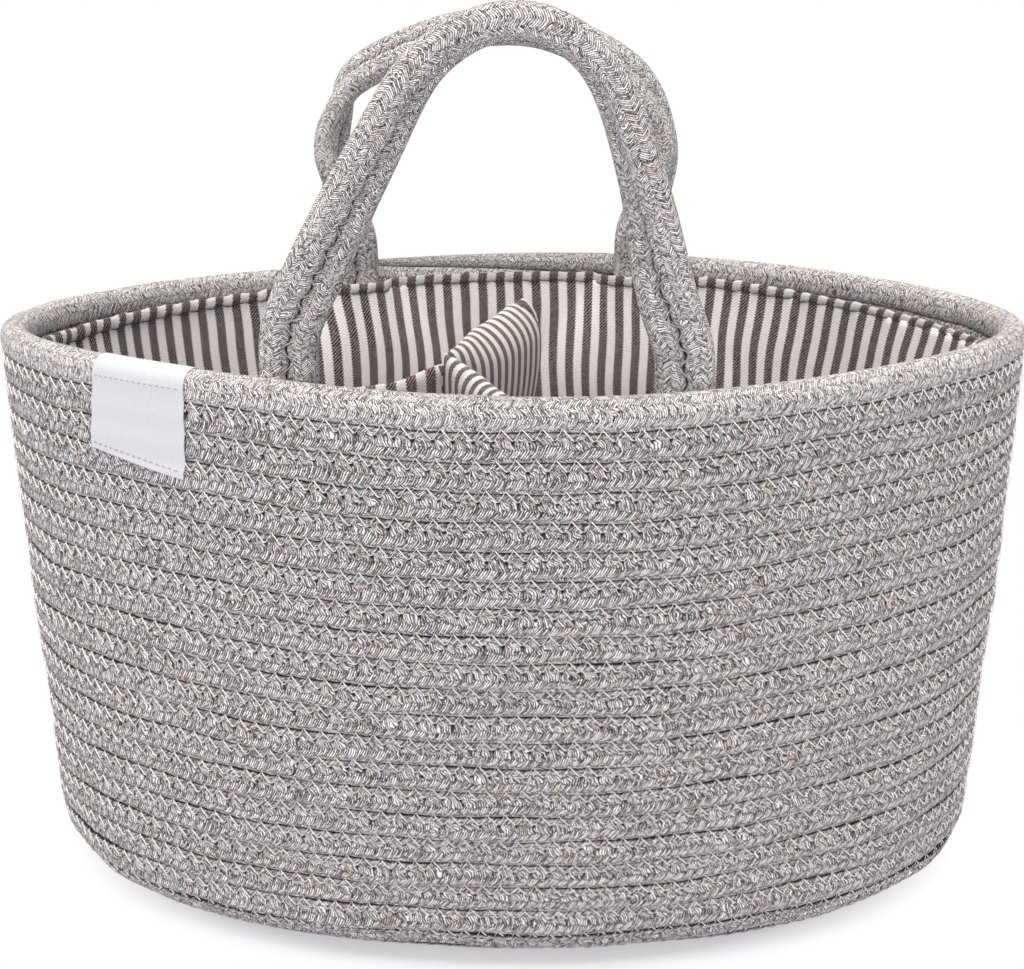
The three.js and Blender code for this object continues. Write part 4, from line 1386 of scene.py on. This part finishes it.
def wing_centre(wing, u, w):
    """The middle of the cloth, u along the wing and w up the cloth, both from 0 to 1."""
    rolled = np.clip(u / wing["roll_share"], 0, 1) ** 0.5
    radius, most = wing["roll_radius"], wing["roll"] * rolled
    top = wing["top"] - wing["fall"] * eased(u / wing["fall_share"])
    top = top - WING_HALF * rolled * math.sin(wing["roll"])
    straight = top - radius * np.sin(most) - WING_LOW
    cloth = (straight + radius * most) * w
    turn = np.clip((cloth - straight) / radius, 0, None)
    z = WING_LOW + np.minimum(cloth, straight) + radius * np.sin(turn)
    lean = radius * (1 - np.cos(turn)) * wing["lean"]
    seam = divider_place(SEAM_PLACE_SHARES, np.full_like(z, 0.5))
    end = divider_place(wing["end_shares"], z / RIM_HEIGHT)
    run = end - seam
    side = np.stack([-run[..., 1], run[..., 0]], -1)
    middle = (seam + end) / 2 + side * wing["bow"]
    low = np.clip(1 - cloth / CORNER_HEIGHT, 0, 1)
    s = (u * (1 - CORNER_SHARE * low * low))[..., None]
    plan = seam * (1 - s) ** 2 + middle * 2 * s * (1 - s) + end * s ** 2
    corner = np.clip(1 - (1 - u) * DOG_EAR_SPREAD[0] - (1 - w) * DOG_EAR_SPREAD[1], 0, 1) * wing["dog_ear"]
    belly = -wing["belly"] * np.minimum(((z - BELLY_TOP) / BELLY_REACH) ** 2, 1.1) * eased(u / 0.5)
    x = plan[..., 0] + lean + belly + corner * 1.1
    return np.stack([x, plan[..., 1] - corner * 0.5, z + corner * 0.5], -1)


def wing_normal(wing, u, w):
    """The direction out of the cloth."""
    step = 0.002
    along = wing_centre(wing, u + step, w) - wing_centre(wing, u - step, w)
    up = wing_centre(wing, u, np.minimum(w + step, 1)) - wing_centre(wing, u, w - step)
    return unit(np.cross(along, up))


# %% A padded wing
WING_COLUMNS = 150
WING_ROWS = 220
NORMAL_MARGIN = 0.003
SWELL_SHARE = 0.25
SWELL_SIZES = (17 * MM, 23 * MM)
RIPPLE = 0.3 * MM
RIPPLE_LENGTH = 1.25 * MM
RIPPLE_DROP = 3.0 * MM
FIRST_STRIPE = 1.3 * MM


def padded_wing(name, wing, body, nodes):
    """Two faces round a thin filling, closed at each edge."""
    ends = wing_centre(wing, np.array([0.0, 1.0]), np.array([0.5, 0.5]))
    length = np.linalg.norm(ends[1] - ends[0])
    height = wing["top"] - WING_LOW

    def shares(u, v):
        """The grid goes up one face and down the other, with finer steps at the edges."""
        return 0.5 - 0.5 * np.cos(np.pi * u), np.sin(np.pi * np.clip(v, 0, 1)) ** 2

    def place(u, v):
        face = np.where(v < 0.5, 1, -1)
        u, w = shares(u, v)
        edge = np.minimum(np.minimum(u, 1 - u) * length, np.minimum(w, 1 - w) * height)
        round_off = 1 - np.clip(edge / WING_EDGE, 0, 1)
        fill = np.clip(1 - round_off ** 2, 0, 1) ** 0.65
        swell = np.sin(u * length / SWELL_SIZES[0] + 1.2 * face) * np.sin(w * height / SWELL_SIZES[1] + face)
        ripple = RIPPLE * np.sin(u * length / RIPPLE_LENGTH) * np.exp(-((1 - w) * height) / RIPPLE_DROP)
        half = face * WING_HALF * fill * (1 + SWELL_SHARE * swell)
        inner_u, inner_w = np.clip(u, NORMAL_MARGIN, 1 - NORMAL_MARGIN), np.clip(w, NORMAL_MARGIN, 1)
        normal = wing_normal(wing, inner_u, inner_w)
        return wing_centre(wing, u, w) + normal * (half + ripple * fill)[:, None]

    def spread(u, v):
        u, w = shares(u, v)
        cut = length * wing["stripes"]
        return u * cut + STRIPE / 4 - (cut - FIRST_STRIPE) % STRIPE, w * height

    piece = bent_grid(name, WING_COLUMNS, WING_ROWS, place, spread, weld=WELD)
    return lay_out(piece, body, divider_twill, nodes)


padded_wing("divider_left_wing_pad", WINGS["left"], "divider_left_wing", ["divider_left_wing"])
padded_wing("divider_back_wing_pad", WINGS["back"], "divider", ["divider_back_wing"])
padded_wing("divider_front_wing_pad", WINGS["front"], "divider", ["divider_front_wing"])

# %% [markdown]
# A piping stands in the corner where the wings meet: a cord of the same cloth, with a line of dark thread
# beside it. Both are thin tubes along one path that sways a little.

# %% The upright seam
PIPING_TOP = 196.5 * MM
PIPING_POINTS = 60
PIPING_RADIUS = 1.2 * MM
SEAM_THREAD_RADIUS = 0.8 * MM
seam_x, seam_y = divider_place(SEAM_PLACE_SHARES, 0.5)
heights = np.linspace(WING_LOW, PIPING_TOP, PIPING_POINTS)
seam_xs = seam_x + 0.4 * MM * np.sin(heights / (31 * MM))
piping_path = np.stack([seam_xs, np.full_like(heights, seam_y - 1.2 * MM), heights], -1)
rightwards = np.tile((1.0, 0, 0), (PIPING_POINTS, 1))
piping = swept("divider_piping", piping_path - (2.0 * MM, 0.6 * MM, 0), PIPING_RADIUS, 10, across=rightwards)
lay_out(piping, "divider", divider_twill, ["divider_seam"])
seam_thread = swept("divider_seam_thread", piping_path - (0.3 * MM, 1.8 * MM, 0), SEAM_THREAD_RADIUS, 6)
lay_out(seam_thread, "divider", dark_thread)


# %% [markdown]
# ## Stage, light and camera
#
# The caddy was photographed on white under soft light. The floor is matt white paper. It keeps the
# basket's shadow, and further out it turns to pure white for the camera, along an oval that follows the
# basket, so that the edge of the shadow is soft and the backdrop is even.

# %% The stage
FLOOR_SIZE = 8.0
SHADOW_OVAL = (0.71, 1.045, 1.0)
SHADOW_NEAR = 0.11
SHADOW_FAR = 0.13
NEAR_WHITE_SHARE = 0.45
bm = bmesh.new()
bmesh.ops.create_grid(bm, x_segments=1, y_segments=1, size=FLOOR_SIZE)
floor_mesh = bpy.data.meshes.new("studio_floor")
bm.to_mesh(floor_mesh)
bm.free()
floor = bpy.data.objects.new("studio_floor", floor_mesh)
bpy.context.scene.collection.objects.link(floor)
paper, shader, node = new_material("white_paper_floor", Base_Color=colour("#EDECF4"), Roughness=0.9)
oval = node("Mapping", {"Vector": node("TexCoord").outputs["Object"], "Scale": SHADOW_OVAL})
away = node("VectorMath", [oval], operation="LENGTH").outputs["Value"]
far = node("MapRange", [away, SHADOW_NEAR, SHADOW_FAR, NEAR_WHITE_SHARE, 1.0])
to_camera = node("Math", [far, node("LightPath").outputs["Is Camera Ray"]], operation="MULTIPLY")
white = node("Emission", [colour("#FFFFFF"), 1.0])
mixed = node("MixShader", [to_camera, shader, white])
join(paper.node_tree.nodes["Material Output"], {"Surface": mixed})
floor_mesh.materials.append(paper)

# %% [markdown]
# The world lights the basket evenly from all sides, and shows plain white to the camera and in
# reflections. A wide, soft lamp above gives the rim and the handles their shape, and a weak one in front
# lifts the wall.

# %% The world
world = bpy.data.worlds.new("soft_studio")
bpy.context.scene.world = world
world.use_nodes = True
world.node_tree.nodes.clear()
node = functools.partial(add, world.node_tree)
rays = node("LightPath")
seen = node("Math", [rays.outputs["Is Camera Ray"], rays.outputs["Is Glossy Ray"]], operation="MAXIMUM")
seen = node("Math", [seen, rays.outputs["Is Transmission Ray"]], operation="MAXIMUM")
room_light = node("Background", [colour("#F3F4F8"), 0.66])
backdrop = node("Background", [colour("#FFFFFF"), 1.0])
node("OutputWorld", [node("MixShader", [seen, room_light, backdrop])])


# %% The lamps
def soft_lamp(name, place, aim, size, power):
    """A square lamp that faces a point."""
    light = bpy.data.lights.new(name, "AREA")
    light.size = size
    light.energy = power
    lamp = bpy.data.objects.new(name, light)
    lamp.location = place
    lamp.rotation_mode = "QUATERNION"
    lamp.rotation_quaternion = (Vector(aim) - Vector(place)).to_track_quat("-Z", "Y")
    bpy.context.scene.collection.objects.link(lamp)
    return lamp


overhead = soft_lamp("overhead_lamp", (-0.1, -0.4, 3.0), (0, 0, 0.1), 1.9, 108)
overhead.data.color = colour("#FFF5EC")[:3]
soft_lamp("key_lamp", (-0.45, -1.9, 0.9), (0, 0, 0.12), 1.2, 10)

# %% [markdown]
# The camera stands close, in front and a little above, looking down by about 22 degrees. Its place and
# lens were found by laying the basket's outline over the photograph.

# %% The camera
camera_data = bpy.data.cameras.new("camera")
camera_data.lens = 55.51
camera_data.sensor_width = 36
camera_data.shift_x = -0.0003
camera_data.shift_y = 0.1115
camera = bpy.data.objects.new("camera", camera_data)
camera.location = (10.316 * MM, -588.668 * MM, 335.443 * MM)
camera.rotation_euler = (math.radians(90 - 21.796), math.radians(0.0647), 0.01752)
bpy.context.scene.collection.objects.link(camera)
bpy.context.scene.camera = camera
bpy.context.scene.view_settings.view_transform = "Standard"
